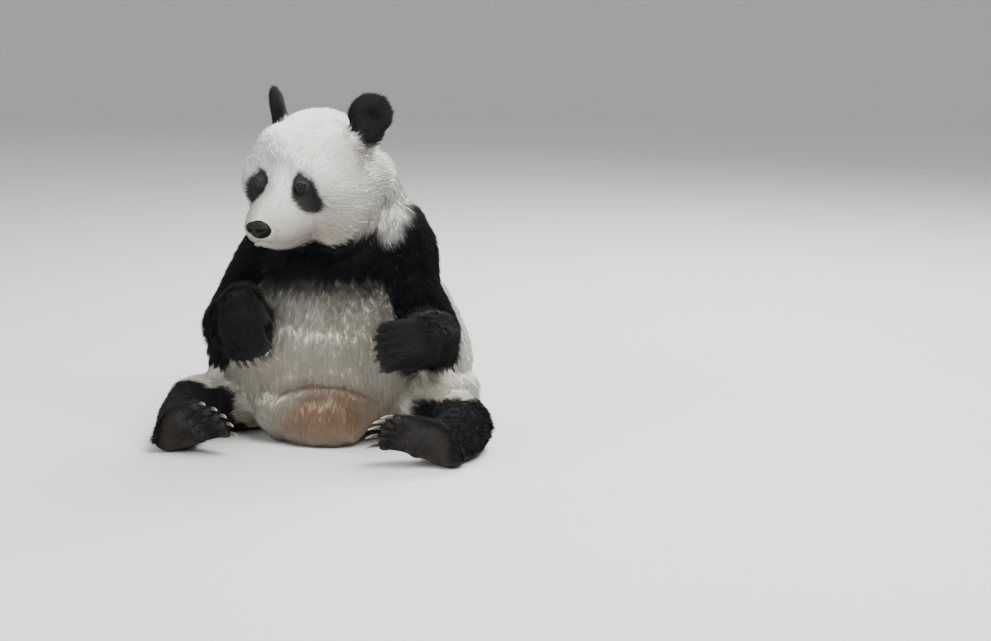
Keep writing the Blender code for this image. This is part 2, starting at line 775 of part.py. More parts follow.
def main():
    clear_scene()
    white = material("white_coat", WHITE_COAT, 0.75)
    black = material("black_coat", BLACK_COAT, 0.70)
    cream = material("cream_coat", CREAM_COAT, 0.80)
    claw_horn = material("claw_horn", CLAW_HORN, 0.35)
    eye_dark = material("eye", EYE_DARK, 0.05)
    leather = material("nose_leather", NOSE_LEATHER, 0.40)

    flesh = untangled(thinned(whole_flesh()))
    remove(slab_above(flesh, (0, 0, 0), (0, 0, -1), "below_floor"))

    pieces = {}
    head_at = head_frame()
    for side, word in ((1, "left"), (-1, "right")):
        fore, hind = FORE_PAWS[side], HIND_PAWS[side]
        names = (f"upper_arm_{word}", f"forearm_{word}", f"forepaw_{word}")
        pieces.update(part_limb(flesh, UPPER_ARM[side], FOREARM[side], fore["frame"], fore["saw"], names))
        names = (f"thigh_{word}", f"shank_{word}", f"foot_{word}")
        pieces.update(part_limb(flesh, THIGH[side], SHANK[side], hind["frame"], hind["saw"], names))
        ear_at = ear_frame(side)
        axes = [ear_at.to_3x3() @ Vector(axis) for axis in ((0, 0, 1), (1, 0, 0))]
        outline = [(-0.064, 0.030, 0.030), (-0.040, 0.050, 0.046), (0.0, 0.072, 0.050), (0.080, 0.084, 0.055)]
        ear = [(ear_at @ Vector((0, 0, up)), *axes, width, depth) for up, width, depth in outline]
        pieces[f"ear_{word}"] = part_off(flesh, ear, f"ear_{word}")
    pieces["tail"] = slab_above(flesh, (0, 0.318, 0.09), (0, 0.90, -0.42), "tail")
    pieces["head"] = slab_above(flesh, head_at @ face_point(-0.060, 0, -0.075), (-0.22, -0.60, 0.80), "head")
    pieces["neck"] = slab_above(flesh, (0, 0.03, 0.575), (0, -0.25, 1), "neck")
    pieces["chest"] = slab_above(flesh, (0, 0, 0.400), (0, 0.10, 1), "chest")
    flesh.name = "belly"
    pieces["belly"] = flesh

    coats = {"head": white, "neck": white, "tail": white, "belly": cream}
    for name, piece in pieces.items():
        largest_island(piece)
        piece.data.materials.clear()
        piece.data.materials.append(coats.get(name, black))

    for side, word in ((1, "left"), (-1, "right")):
        place = face_point(EYE_PLACE[0], side * EYE_PLACE[1], EYE_PLACE[2])
        eye = solid_ellipsoid(head_at, place, (EYE_RADIUS,) * 3, 10, 6, f"eye_{word}")
        seat(pieces["head"], eye)
        eye.data.materials.append(eye_dark)
        for kind, paws, palm in (("forepaw", FORE_PAWS, FORE_PALM), ("foot", HIND_PAWS, HIND_PALM)):
            paw = paws[side]
            for number in range(TOE_COUNT):
                name = f"claw_{kind}_{word}_{number + 1}"
                made = claw(paw["frame"], paw["curl"], paw["splay"], palm, number, name)
                seat(pieces[f"{kind}_{word}"], made)
                made.data.materials.append(claw_horn)
    nose = nose_pad(head_at, "nose")
    seat(pieces["head"], nose)
    nose.data.materials.append(leather)
    for name in ("head", "forepaw_left", "forepaw_right", "foot_left", "foot_right"):
        largest_island(pieces[name])
        while len(pieces[name].data.materials) > 1:
            pieces[name].data.materials.pop()
    for piece in pieces.values():
        without_fins(piece)
    centre_on_floor()


main()
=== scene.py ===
"""The look of a sitting giant panda: skin, eyes, nose, claws and coat over the fixed solids."""

import math

import bmesh
import bpy
import numpy as np
from mathutils import Matrix, Vector, noise
from mathutils.bvhtree import BVHTree


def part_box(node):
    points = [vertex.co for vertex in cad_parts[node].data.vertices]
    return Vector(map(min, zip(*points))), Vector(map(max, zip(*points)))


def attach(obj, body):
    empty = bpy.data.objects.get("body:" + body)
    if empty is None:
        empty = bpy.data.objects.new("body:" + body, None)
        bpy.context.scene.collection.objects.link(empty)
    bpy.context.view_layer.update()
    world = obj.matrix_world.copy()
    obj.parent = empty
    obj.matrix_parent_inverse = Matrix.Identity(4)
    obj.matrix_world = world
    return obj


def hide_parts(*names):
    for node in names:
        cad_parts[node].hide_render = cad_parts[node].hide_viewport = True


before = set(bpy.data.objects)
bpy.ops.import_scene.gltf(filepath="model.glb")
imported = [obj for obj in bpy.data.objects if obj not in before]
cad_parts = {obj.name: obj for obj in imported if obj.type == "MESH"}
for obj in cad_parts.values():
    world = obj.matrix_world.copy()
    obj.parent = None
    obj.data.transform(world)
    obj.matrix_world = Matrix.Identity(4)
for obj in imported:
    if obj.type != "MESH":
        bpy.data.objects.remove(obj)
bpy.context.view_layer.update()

NOISE_SEED = 7
noise.seed_set(NOISE_SEED)  # without it, the directions that swirl gives would change with the clock

SIDES = ((1, "left"), (-1, "right"))
LIMBS = ("upper_arm", "forearm", "forepaw", "thigh", "shank", "foot")
FLESH = ["head", "neck", "chest", "belly", "tail"]
FLESH += [f"{part}_{word}" for part in ("ear",) + LIMBS for _, word in SIDES]
CLAWS = {
    f"{paw}_{word}": [f"claw_{paw}_{word}_{number}" for number in range(1, 6)]
    for paw in ("forepaw", "foot")
    for _, word in SIDES
}
# The name of each node of flesh without its side
PARTS = np.array([name.removesuffix("_left").removesuffix("_right") for name in FLESH])

# ---- where things are ----

EYE_FORWARD, EYE_UP = 0.112, -0.010
EYE_RADIUS = 0.0125
HEAD_NOD = math.radians(8.5)
SKULL_MIDDLE = Vector((-0.0195, -0.11, 0.677))
NOSE_FORWARD, NOSE_UP = 0.210, -0.098


def middle(node):
    low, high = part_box(node)
    return (low + high) / 2


def find_head():
    """+X to the head's left, -Y out of the face, +Z up the face, from the middle of the skull."""
    left, right = middle("eye_left"), middle("eye_right")
    turn = math.atan2((left - right).y, (left - right).x)
    axes = Matrix.Rotation(turn, 4, "Z") @ Matrix.Rotation(HEAD_NOD, 4, "X")
    centre = (left + right) / 2 - axes.to_3x3() @ Vector((0, -EYE_FORWARD, EYE_UP))
    return Matrix.Translation(centre) @ axes


HEAD = find_head()
SHIFT = HEAD.translation - SKULL_MIDDLE


def on_head(forward, left, up):
    return HEAD @ Vector((left, -forward, up))


NOSE_TIP = on_head(0.226, 0, -0.100)


def placed(x, y, z):
    return Vector((x, y, z)) + SHIFT


def line_of(*joints):
    """The joints of a limb, from its root to its toes."""
    return [placed(*joint) for joint in joints]


LINES = {
    "arm_left": line_of(
        (0.130, 0.045, 0.515), (0.270, -0.072, 0.285), (0.306, -0.238, 0.272), (0.205, -0.298, 0.274)
    ),
    "arm_right": line_of(
        (-0.125, 0.045, 0.503), (-0.244, -0.090, 0.270), (-0.160, -0.268, 0.344), (-0.131, -0.314, 0.236)
    ),
    "leg_left": line_of(
        (0.220, -0.040, 0.090), (0.388, -0.185, 0.060), (0.386, -0.366, 0.056), (0.285, -0.409, 0.090)
    ),
    "leg_right": line_of(
        (-0.190, -0.040, 0.095), (-0.302, -0.190, 0.076), (-0.292, -0.366, 0.058), (-0.191, -0.407, 0.096)
    ),
}


def limb_line(part, word):
    return LINES[("arm_" if part in LIMBS[:3] else "leg_") + word]


# Each paw's way to its toes, way out of its back, curl and splay of the toes in degrees, and length of palm
PAWS = {
    "forepaw_left": ((-0.84, -0.50, 0.02), (0.34, -0.80, 0.36), 44, 5, 0.070),
    "forepaw_right": ((0.24, -0.38, -0.90), (-0.30, -0.92, 0.10), 24, 4, 0.070),
    "foot_left": ((-0.84, -0.36, 0.28), (0.28, 0.86, 0.42), 8, 7, 0.088),
    "foot_right": ((0.84, -0.34, 0.32), (-0.28, 0.86, 0.42), 8, 7, 0.088),
}
PAW_HALF, TOE_RADIUS, TOE_LENGTH = 0.065, 0.0158, 0.031


def paw_axes(name):
    """Across a paw, along it to the toes and out of its back, with its wrist."""
    toward, back = PAWS[name][:2]
    wrist = limb_line(*name.split("_"))[2]
    y = Vector(toward).normalized()
    z = Vector(back)
    z = (z - y * z.dot(y)).normalized()
    return Matrix.Translation(wrist) @ Matrix((y.cross(z), y, z)).transposed().to_4x4()


def pad_places(name):
    """Centre, direction out of the sole, heading and half sizes of each pad of a paw."""
    axes, (curl, splay, palm) = paw_axes(name), PAWS[name][2:]
    turn = axes.to_3x3()
    down, ahead = turn @ Vector((0, 0, -1)), turn @ Vector((0, 1, 0))
    for number in range(5):
        place = (number - 2) / 2
        across = place * (PAW_HALF - TOE_RADIUS)
        spot = Vector((across, palm - 0.014 * place**2, 0.004 - 0.006 * place**2))
        way = math.radians(splay) * place
        for joint in (1, 2):
            bend = math.radians(curl) * (joint - 0.4)
            step = Vector((math.sin(way) * math.cos(bend), math.cos(way) * math.cos(bend), -math.sin(bend)))
            spot = spot + step * TOE_LENGTH
        out = (Vector((0, 0, -1)) + step * step.z).normalized()
        yield axes @ (spot - step * 0.006), turn @ out, turn @ step, (0.0105, 0.0135)
    for k in range(7):
        place = (k - 3) / 3
        spot = Vector((place * 0.040, palm - 0.012 - 0.018 * place**2, -0.010))
        wide = 0.0125 + 0.0030 * place**2
        yield axes @ spot, down, ahead, (wide, wide)
    if name.startswith("forepaw"):
        for place in ((-0.036, 0.022), (0.034, 0.012)):
            yield axes @ Vector((*place, -0.012)), down, ahead, (0.0125, 0.0160)


def on_paw(name, points):
    """Points as (across, along, out of the back) of a paw."""
    return (np.c_[points, np.ones(len(points))] @ np.array(paw_axes(name).inverted()).T)[:, :3]


# ---- small tools ----


def ramp(x, low, high):
    """0 below low, 1 above high, with an even slope at both ends."""
    t = np.clip((np.asarray(x, float) - low) / (high - low), 0, 1)
    return t * t * (3 - 2 * t)


def hump(offset, width):
    """1 where the offset is 0, falling away smoothly over about this width."""
    return np.exp(-((offset / width) ** 2))


def ball(points, centre, radii):
    """1 at the centre of an ellipsoid, 0 on its surface, negative outside."""
    return 1 - np.sqrt((((points - np.array(centre)) / np.array(radii)) ** 2).sum(1))


def ripple(points, size, seed=0.0):
    """Smooth noise from -1 to 1 with lumps about this size."""
    return np.array([noise.noise(Vector(p) / size + Vector((seed, seed * 1.7, -seed))) for p in points])


def swirl(points, size):
    """A smooth noise direction at each point."""
    return np.array([noise.noise_vector(Vector(p) / size) for p in points])


def unit(vectors):
    return vectors / np.maximum(np.linalg.norm(vectors, axis=1, keepdims=True), 1e-9)


def span_to(points, spot):
    """How far each point is from a spot."""
    return np.linalg.norm(points - np.array(spot), axis=1)


def eased(values, edges, rounds):
    """Values at vertices, averaged with their neighbours' along the mesh."""
    values = np.array(values, float)
    flat = values.reshape(len(values), -1)
    share = 1 / np.maximum(np.bincount(edges.ravel(), minlength=len(flat)), 1)
    for _ in range(rounds):
        spread = np.empty_like(flat)
        for column in range(flat.shape[1]):
            spread[:, column] = np.bincount(edges[:, 0], flat[edges[:, 1], column], len(flat))
            spread[:, column] += np.bincount(edges[:, 1], flat[edges[:, 0], column], len(flat))
        flat = 0.5 * flat + 0.5 * spread * share[:, None]
    return flat.reshape(values.shape)


def link(data, name):
    """A new object in the scene, over a mesh, a light or a camera."""
    obj = bpy.data.objects.new(name, data)
    bpy.context.scene.collection.objects.link(obj)
    return obj


def plain(obj):
    """Leaves the object with the mesh that its modifiers make."""
    bpy.context.view_layer.update()
    graph = bpy.context.evaluated_depsgraph_get()
    shown = obj.evaluated_get(graph)
    made = bpy.data.meshes.new_from_object(shown, preserve_all_data_layers=True, depsgraph=graph)
    obj.modifiers.clear()
    obj.data = made
    return obj


def read(items, key, width, kind=float):
    """A value of each of a mesh's items, as rows."""
    found = np.empty(len(items) * width, kind)
    items.foreach_get(key, found)
    return found.reshape(-1, width)


def positions(mesh):
    return read(mesh.vertices, "co", 3)


def normals(mesh):
    return read(mesh.vertex_normals, "vector", 3)


def as_mesh(bm, name):
    """Ends an edit and keeps what it made as a mesh."""
    mesh = bpy.data.meshes.new(name)
    bm.to_mesh(mesh)
    bm.free()
    return mesh


def wear(piece, finish):
    """Gives a piece one finish and smooth shading."""
    piece.data.shade_smooth()
    piece.data.materials.clear()
    piece.data.materials.append(finish)


def settle(piece, slot, *nodes):
    """Sets a piece on the root body, in place of the nodes that it covers. The slot is not used."""
    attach(piece, "root")
    if nodes:
        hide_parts(*nodes)


def surface_of(mesh):
    points = [vertex.co for vertex in mesh.vertices]
    return BVHTree.FromPolygons(points, [list(face.vertices) for face in mesh.polygons])


def move_to(mesh, points):
    mesh.vertices.foreach_set("co", np.asarray(points, np.float32).ravel())
    mesh.update()


def keep(mesh, name, kind, values):
    """Stores a value for each of a mesh's vertices."""
    layer = mesh.attributes.get(name) or mesh.attributes.new(name, kind, "POINT")
    key = {"FLOAT": "value", "FLOAT_VECTOR": "vector", "FLOAT_COLOR": "color"}[kind]
    layer.data.foreach_set(key, np.asarray(values, np.float32).ravel())


def merged(nodes, growth, name):
    """The nodes' shapes in one object, with their loose triangles sewn together and grown a little."""
    whole = bmesh.new()
    for node in nodes:
        part = bmesh.new()
        part.from_mesh(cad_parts[node].data)
        bmesh.ops.remove_doubles(part, verts=part.verts, dist=0.00001)
        part.normal_update()
        for vertex in part.verts:
            vertex.co += vertex.normal * growth
        mesh = as_mesh(part, "part")
        whole.from_mesh(mesh)
        bpy.data.meshes.remove(mesh)
    return link(as_mesh(whole, name), name)


def head_points(points):
    """Points as (forward, left, up) from the middle of the skull."""
    turned = np.c_[points, np.ones(len(points))] @ np.array(HEAD.inverted()).T
    return np.c_[-turned[:, 1], turned[:, 0], turned[:, 2]]


# ---- the skin ----

SKIN_VOXEL = 0.0065
SEWING = 0.0012  # growth that closes the cuts between nodes
SOLID_GROWTH = 0.0006  # growth that makes up for the smoothing of the nose and claws


def fuse(obj, voxel, smoothing):
    """One closed even mesh over all the shapes in an object."""
    remesh = obj.modifiers.new("fuse", "REMESH")
    remesh.mode = "VOXEL"
    remesh.voxel_size = voxel
    soften = obj.modifiers.new("soften", "SMOOTH")
    soften.iterations = smoothing
    return plain(obj)


def refine(mesh, centre, radius):
    """Cuts the edges near a point in half."""
    bm = bmesh.new()
    bm.from_mesh(mesh)
    ends = [(edge, *edge.verts) for edge in bm.edges]
    near = [edge for edge, first, second in ends if ((first.co + second.co) / 2 - centre).length < radius]
    bmesh.ops.subdivide_edges(bm, edges=near, cuts=1, use_grid_fill=True)
    bm.to_mesh(mesh)
    bm.free()


def nearest_node(points):
    """For each point, the number in FLESH of the node that lies closest."""
    vertices, faces, owner = [], [], []
    for number, node in enumerate(FLESH):
        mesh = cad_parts[node].data
        start = len(vertices)
        vertices += [vertex.co.copy() for vertex in mesh.vertices]
        for polygon in mesh.polygons:
            faces.append([start + index for index in polygon.vertices])
            owner.append(number)
    tree = BVHTree.FromPolygons(vertices, faces)
    return np.array([owner[tree.find_nearest(Vector(p))[2]] for p in points])


# How deep the skin lies, how long, raised and wide a tuft is, in metres, away from the face
COAT = {
    "neck": (0.0105, 0.042, 0.0110, 0.0024),
    "chest": (0.0105, 0.043, 0.0110, 0.0025),
    "belly": (0.0090, 0.038, 0.0090, 0.0025),
    "tail": (0.0100, 0.050, 0.0150, 0.0028),
    "ear": (0.0045, 0.019, 0.0058, 0.0019),
    "upper_arm": (0.0105, 0.040, 0.0110, 0.0025),
    "forearm": (0.0090, 0.036, 0.0098, 0.0024),
    "forepaw": (0.0055, 0.022, 0.0062, 0.0021),
    "thigh": (0.0090, 0.036, 0.0098, 0.0025),
    "shank": (0.0080, 0.032, 0.0088, 0.0024),
    "foot": (0.0055, 0.021, 0.0062, 0.0021),
}
# The same on the head, by distance from the tip of the nose
FACE_REACH = (0.03, 0.07, 0.12, 0.18, 0.26, 0.34)
FACE_COAT = (
    (0.0015, 0.0025, 0.0040, 0.0068, 0.0090, 0.0105),
    (0.0080, 0.0125, 0.0160, 0.0205, 0.0280, 0.0340),
    (0.0028, 0.0044, 0.0056, 0.0074, 0.0092, 0.0108),
    (0.0014, 0.0018, 0.0020, 0.0021, 0.0023, 0.0025),
)


def coat_sizes(points, node):
    """Depth, length, lift and width of the coat at each point."""
    sizes = np.array([COAT.get(part, COAT["neck"]) for part in PARTS])[node]
    reach = span_to(points, NOSE_TIP)
    on_face = PARTS[node] == "head"
    for column, values in enumerate(FACE_COAT):
        sizes[on_face, column] = np.interp(reach[on_face], FACE_REACH, values)
    for _, word in SIDES:
        away = span_to(points, middle(f"eye_{word}"))
        sizes[:, 1:] *= (0.45 + 0.55 * ramp(away, 0.014, 0.050))[:, None]
    for claws in CLAWS.values():
        for claw in claws:
            sizes[:, 1:3] *= (0.34 + 0.66 * ramp(span_to(points, middle(claw)), 0.016, 0.048))[:, None]
    return sizes


def lie_of_coat(points, node):
    """Which way the coat is combed at each point, before it follows the surface."""
    lie = np.zeros_like(points)
    out = points - np.array(placed(0, 0.05, 0))
    out[:, 2] = 0
    out = unit(out)
    for number, name in enumerate(FLESH):
        here = node == number
        if name == "head":
            way = unit(points[here] - np.array(NOSE_TIP)) + [0, 0, -0.25]
        elif name == "neck":
            way = unit(points[here] - np.array(HEAD.translation)) * 0.6 + [0, 0.1, -0.8]
        elif name == "tail":
            way = np.tile([0, 0.35, -0.9], (here.sum(), 1))
        elif name.startswith("ear"):
            way = unit(points[here] - np.array(HEAD.translation))
        elif name in ("chest", "belly"):
            way = out[here] * 0.30 + [0, 0, -1.0]
        else:
            part, word = name.rsplit("_", 1)
            line = limb_line(part, word)
            step = LIMBS.index(part) % 3
            way = np.tile(np.array((line[step + 1] - line[step]).normalized()), (here.sum(), 1))
            if part in ("upper_arm", "forearm"):
                way = way + [0, 0, -0.35]
        lie[here] = way
    return unit(lie)


def eye_axes(side):
    """Across, up and out of one eye."""
    out = (HEAD.to_3x3() @ Vector((side * 0.42, -1.0, 0.04))).normalized()
    up = HEAD.to_3x3() @ Vector((0, 0, 1))
    across = up.cross(out).normalized()
    return across, out.cross(across).normalized(), out


def eye_view(points, side, word):
    """Points as (across, up, out) of an eye, with its middle and its axes."""
    centre, axes = np.array(middle(f"eye_{word}")), np.array([list(axis) for axis in eye_axes(side)])
    return (points - centre) @ axes.T, centre, axes


LID_ACROSS, LID_HIGH, LID_THICK = 0.0102, 0.0070, 0.0024


def set_lids(points):
    """Draws the skin up to each eyeball as a pair of lids, and hides it behind the ball between them."""
    for side, word in SIDES:
        local, centre, axes = eye_view(points, side, word)
        near = (np.linalg.norm(local, axis=1) < 0.042) & (local[:, 2] > -0.008)
        x, y, height = local[near].T
        wide = np.hypot(x, y)
        opening = np.hypot(x / LID_ACROSS, y / LID_HIGH)
        over_ball = np.sqrt(np.maximum(EYE_RADIUS**2 - wide**2, 0))
        lid = np.sqrt(np.maximum((EYE_RADIUS + LID_THICK) ** 2 - np.minimum(wide, EYE_RADIUS) ** 2, 0))
        outer = ramp(wide, 0.0105, 0.024)
        lid = lid * (1 - outer) + height * outer
        edge = ramp(opening, 1.0, 1.22)
        lid = (over_ball + 0.0002) * (1 - edge) + lid * edge
        inside = opening < 1.0
        lid[inside] = over_ball[inside] - 0.0022
        local[near, 2] = lid
        points[near] = centre + local[near] @ axes
    return points


GROOVE = 0.0062  # how deep the skin folds between two toes
FACE_MIDDLE = on_head(0.12, 0, -0.06)
# The line of the closed mouth, as (forward, left, up) on the head, from the front to the left corner
MOUTH = (
    (0.214, 0.0, -0.134),
    (0.200, 0.030, -0.140),
    (0.172, 0.058, -0.143),
    (0.135, 0.082, -0.138),
    (0.105, 0.098, -0.126),
)


def mouth_line(surface):
    """Points along the lips, laid on the skin."""
    ends = [np.array(point) for point in MOUTH]
    line = []
    for side in (1, -1):
        for first, second in zip(ends, ends[1:]):
            for t in np.linspace(0, 1, 12):
                forward, left, up = first * (1 - t) + second * t
                line.append(surface.find_nearest(on_head(forward, side * left, up))[0])
    return np.array([list(point) for point in line])


def distance_to(points, line):
    found = np.full(len(points), 1.0)
    for spot in line:
        found = np.minimum(found, span_to(points, spot))
    return found


def toe_grooves(points, node):
    """How far the skin draws in between the toes."""
    depth = np.zeros(len(points))
    step = (PAW_HALF - TOE_RADIUS) / 2
    for name, (_, _, _, splay, palm) in PAWS.items():
        here = node == FLESH.index(name)
        across, along, out = on_paw(name, points[here]).T
        spread = step * (1 + math.radians(splay) * np.maximum(along - palm, 0) / 0.10)
        off = np.abs(np.abs(across / spread) % 1.0 - 0.5)
        between = hump(off, 0.17) * (np.abs(across) < 2.2 * spread)
        under = ramp(-out, 0.010, 0.030) * ramp(along, palm - 0.02, palm + 0.01)
        reach = ramp(along, palm - 0.030, palm + 0.012) + under
        depth[here] = GROOVE * between * np.clip(reach, 0, 1)
    return depth


def nose_seat(points):
    """1 in the middle of the nose's seat, 0 at its rim."""
    return ball(head_points(points), (NOSE_FORWARD + 0.002, 0, NOSE_UP - 0.004), (0.030, 0.040, 0.0225))


def make_skin():
    """One closed skin over all the flesh, which lies inside the solids by the coat's depth."""
    skin = fuse(merged(FLESH + ["nose", "eye_left", "eye_right"], SEWING, "skin"), SKIN_VOXEL, 7)
    mesh = skin.data
    refine(mesh, FACE_MIDDLE, 0.150)
    for _, word in SIDES:
        for radius in (0.040, 0.030):
            refine(mesh, middle(f"eye_{word}"), radius)
    refine(mesh, on_head(0.19, 0, -0.13), 0.070)
    outer = positions(mesh)
    edges = read(mesh.edges, "vertices", 2, int)
    face = span_to(outer, FACE_MIDDLE) < 0.16
    outer = np.where(face[:, None], eased(outer, edges, 6), outer)
    ears = np.minimum(*(span_to(outer, middle(f"ear_{word}")) for _, word in SIDES)) < 0.070
    outer = np.where(ears[:, None], eased(outer, edges, 12), outer)
    skull = (span_to(outer, on_head(-0.02, 0, 0.02)) < 0.24) & ~ears & ~face
    outer = np.where(skull[:, None], eased(outer, edges, 16), outer)
    outer += normals(mesh) * -SEWING
    node = nearest_node(outer)
    sizes = eased(coat_sizes(outer, node), edges, 40)
    on_floor = ramp(outer[:, 2], 0.004, 0.045)
    depth = sizes[:, 0] * (0.12 + 0.88 * on_floor)
    facing = unit(eased(normals(mesh), edges, 4))
    clumps = 0.55 * ripple(outer, 0.024, 12.0) + 0.45 * ripple(outer, 0.011, 13.0)
    depth += toe_grooves(outer, node) + 0.16 * sizes[:, 2] * clumps * on_floor
    sizes[:, 2] *= 1 - 0.30 * clumps
    inner = outer - facing * depth[:, None]
    x, y, z = (outer - np.array(SHIFT)).T
    fold = (y < 0) * ramp(0.15 - np.abs(x - FOLD_MIDDLE), 0.0, 0.07) * (PARTS[node] == "belly")
    inner -= facing * (0.012 * fold * hump(z - fold_height(x), 0.011))[:, None]
    inner += facing * (0.004 * fold * hump(z - fold_height(x) - 0.030, 0.020))[:, None]
    inner += np.outer(0.0075 * ramp(nose_seat(outer), 0.0, 0.16), HEAD.to_3x3() @ Vector((0, 1, 0)))
    inner = set_lids(inner)
    inner[:, 2] = np.maximum(inner[:, 2], 0.0015)
    move_to(mesh, inner)

    lips = distance_to(inner, mouth_line(surface_of(mesh)))
    below = head_points(inner)[:, 2] < -0.138
    facing = normals(mesh)
    inner += facing * (-0.0045 * hump(lips, 0.0026))[:, None]
    inner += facing * (0.0016 * below * hump(lips - 0.006, 0.003))[:, None]
    move_to(mesh, inner)
    return skin, outer, node, sizes, lips


# ---- markings ----

FOLD_MIDDLE = 0.045
BAND_LOW, COLLAR_HIGH = 0.405, 0.588  # lower edge of the black band and upper edge behind the neck
# The black round an eye: its middle (forward, left, up), half sizes (forward, across, along) and slant
EYE_PATCH, EYE_PATCH_HALF = (0.104, 0.077, -0.030), (0.062, 0.0370, 0.054)
EYE_PATCH_SLANT = math.radians(33)


def fold_height(x):
    """How high the fold under the belly hangs above the floor."""
    return 0.163 - 2.6 * (x - FOLD_MIDDLE) ** 2


def black_parts(points, node, edges):
    """Where the coat is black: limbs, the band over the shoulders, ears and eye patches."""
    part = PARTS[node]
    x, y, z = (points - np.array(SHIFT)).T
    ragged = 0.10 * ripple(points, 0.022) + 0.08 * ripple(points, 0.008, 3.0)
    limbs = np.isin(part, ("ear",) + LIMBS).astype(float)
    hip = part == "thigh"
    outward = ramp(np.abs(x - 0.02), 0.18, 0.26)
    limbs[hip] = (outward * ramp(0.130 + 0.10 * ragged - z, -0.016, 0.010))[hip]
    black = ramp(eased(limbs, edges, 14) + ragged, 0.36, 0.58)
    wave = 0.014 * ripple(points, 0.05, 5.0) + 0.006 * ripple(points, 0.012, 6.0)
    front = ramp(-y, -0.02, 0.10)
    lower = BAND_LOW - 0.010 * front + 0.09 * ramp(np.abs(x), 0.10, 0.26) * (1 - front)
    band = ramp(z + wave - 0.006 * front, lower - 0.012 - 0.018 * front, lower + 0.012 + 0.022 * front)
    collar = z - 0.25 * (y - 0.03) - COLLAR_HIGH + wave
    trunk = np.isin(part, ("chest", "belly", "neck"))
    black = np.maximum(black, band * (1 - ramp(collar, -0.010, 0.012)) * trunk)
    tongue = ramp(ball(points, placed(0.144, 0.000, 0.535), (0.056, 0.066, 0.070)) + ragged, -0.12, 0.14)
    black *= 1 - tongue * (part != "ear")
    forward, left, up = head_points(points).T
    for side in (1, -1):
        root = ball(points, on_head(-0.058, side * 0.146, 0.090), (0.046, 0.046, 0.046))
        black = np.maximum(black, ramp(root + ragged, -0.06, 0.12))
        a, b = side * left - EYE_PATCH[1], up - EYE_PATCH[2]
        slant, lean = math.sin(EYE_PATCH_SLANT), math.cos(EYE_PATCH_SLANT)
        deep, across, along = EYE_PATCH_HALF
        patch = ((a * slant - b * lean) / along) ** 2 + ((a * lean + b * slant) / across) ** 2
        patch = 1 - np.sqrt(patch + ((forward - EYE_PATCH[0]) / deep) ** 2)
        patch = ramp(patch + 0.8 * ragged, -0.10, 0.12) * (part == "head")
        black = np.maximum(black, 0.96 * patch)
    return black


def stains_shade_and_sheen(points, node, black):
    """How cream, rusty and grey-brown the coat is where it isn't black, with painted shade in the crease
    under the belly and painted sheen on the black forearms, forepaws, thighs and shanks.
    """
    part = PARTS[node]
    x, y, z = (points - np.array(SHIFT)).T
    cloud = ripple(points, 0.06, 9.0)
    front = ramp(-y, -0.02, 0.12)
    trunk = np.isin(part, ("chest", "belly", "thigh"))
    cream = trunk * (0.14 + 0.58 * front + 0.16 * cloud)
    smoky = trunk * front * ramp(z + 0.02 * cloud, 0.290, 0.410) * 0.72
    smoky += trunk * 0.14 * ramp(0.20 - z, 0.0, 0.12) * (1 - front)
    smoky += trunk * 0.24 * front * ramp(0.14 - z + 0.02 * cloud, 0.0, 0.08)
    rust = ball(points, placed(0.070, -0.25, 0.078), (0.185, 0.17, 0.130))
    rust = ramp(rust + 0.22 * cloud + 0.14 * ripple(points, 0.014, 4.0), -0.06, 0.66)
    rust *= 1 - 0.40 * ramp(0.100 - z, 0.0, 0.08)
    # Painted shade in the crease under the belly's fold: the rust and grey-brown are deepened there, over the
    # rust stain
    crease_shade = hump(z - fold_height(x), 0.012) * front * ramp(0.13 - np.abs(x - FOLD_MIDDLE), 0.0, 0.06)
    rust = np.maximum(rust, 0.9 * crease_shade * trunk)
    smoky = np.maximum(smoky, 0.75 * crease_shade * trunk)
    forward, _, up = head_points(points).T
    head = np.isin(part, ("head", "neck"))
    cream += head * (0.08 + 0.55 * ramp(-up, 0.03, 0.13) + 0.10 * cloud)
    muzzle = head * ramp(forward, 0.10, 0.17)
    lip = hump(up + 0.132, 0.012)
    smoky += muzzle * (0.05 + 0.16 * np.clip(ripple(points, 0.014, 15.0), 0, 1) + 0.10 * lip)
    for side in (1, -1):
        root = ball(points, on_head(-0.020, side * 0.140, 0.052), (0.040, 0.040, 0.040))
        smoky += head * 0.36 * ramp(root, 0.0, 0.8)
        rust += head * 0.25 * ramp(root, 0.1, 0.9)
        jaw = ball(points, on_head(0.11, side * 0.080, -0.125), (0.06, 0.05, 0.04))
        rust += head * 0.35 * ramp(jaw, 0.0, 0.8)
    # Painted sheen: the black of the forearms, forepaws, thighs and shanks is made a little lighter and
    # greyer, standing in for the sky's reflection on the fur
    sky_sheen = np.isin(part, ("forearm", "forepaw", "thigh", "shank")) * black
    black = black * (1 - 0.035 * sky_sheen)
    smoky = np.maximum(smoky, 0.65 * sky_sheen)
    for name in PAWS:
        here = node == FLESH.index(name)
        palm = ramp(-on_paw(name, points[here])[:, 2], 0.0, 0.03)
        black[here] *= 1 - 0.10 * palm
        smoky[here], rust[here] = np.maximum(smoky[here], 0.7 * palm), 0.5 * palm
    return np.clip(np.c_[black, cream, rust, smoky], 0, 1)


# ---- finishes ----

WHITE = (0.90, 0.885, 0.845, 1)
CREAM = (0.66, 0.60, 0.47, 1)
RUST = (0.50, 0.335, 0.225, 1)
SMOKY = (0.150, 0.140, 0.130, 1)
# The black carries a faint painted bluish tint that stands in for the sky's reflection
BLACK_SKY_TINTED = (0.0062, 0.0072, 0.0098, 1)
UNDERFUR, BARE_SKIN = (0.10, 0.085, 0.075, 1), (0.010, 0.009, 0.009, 1)


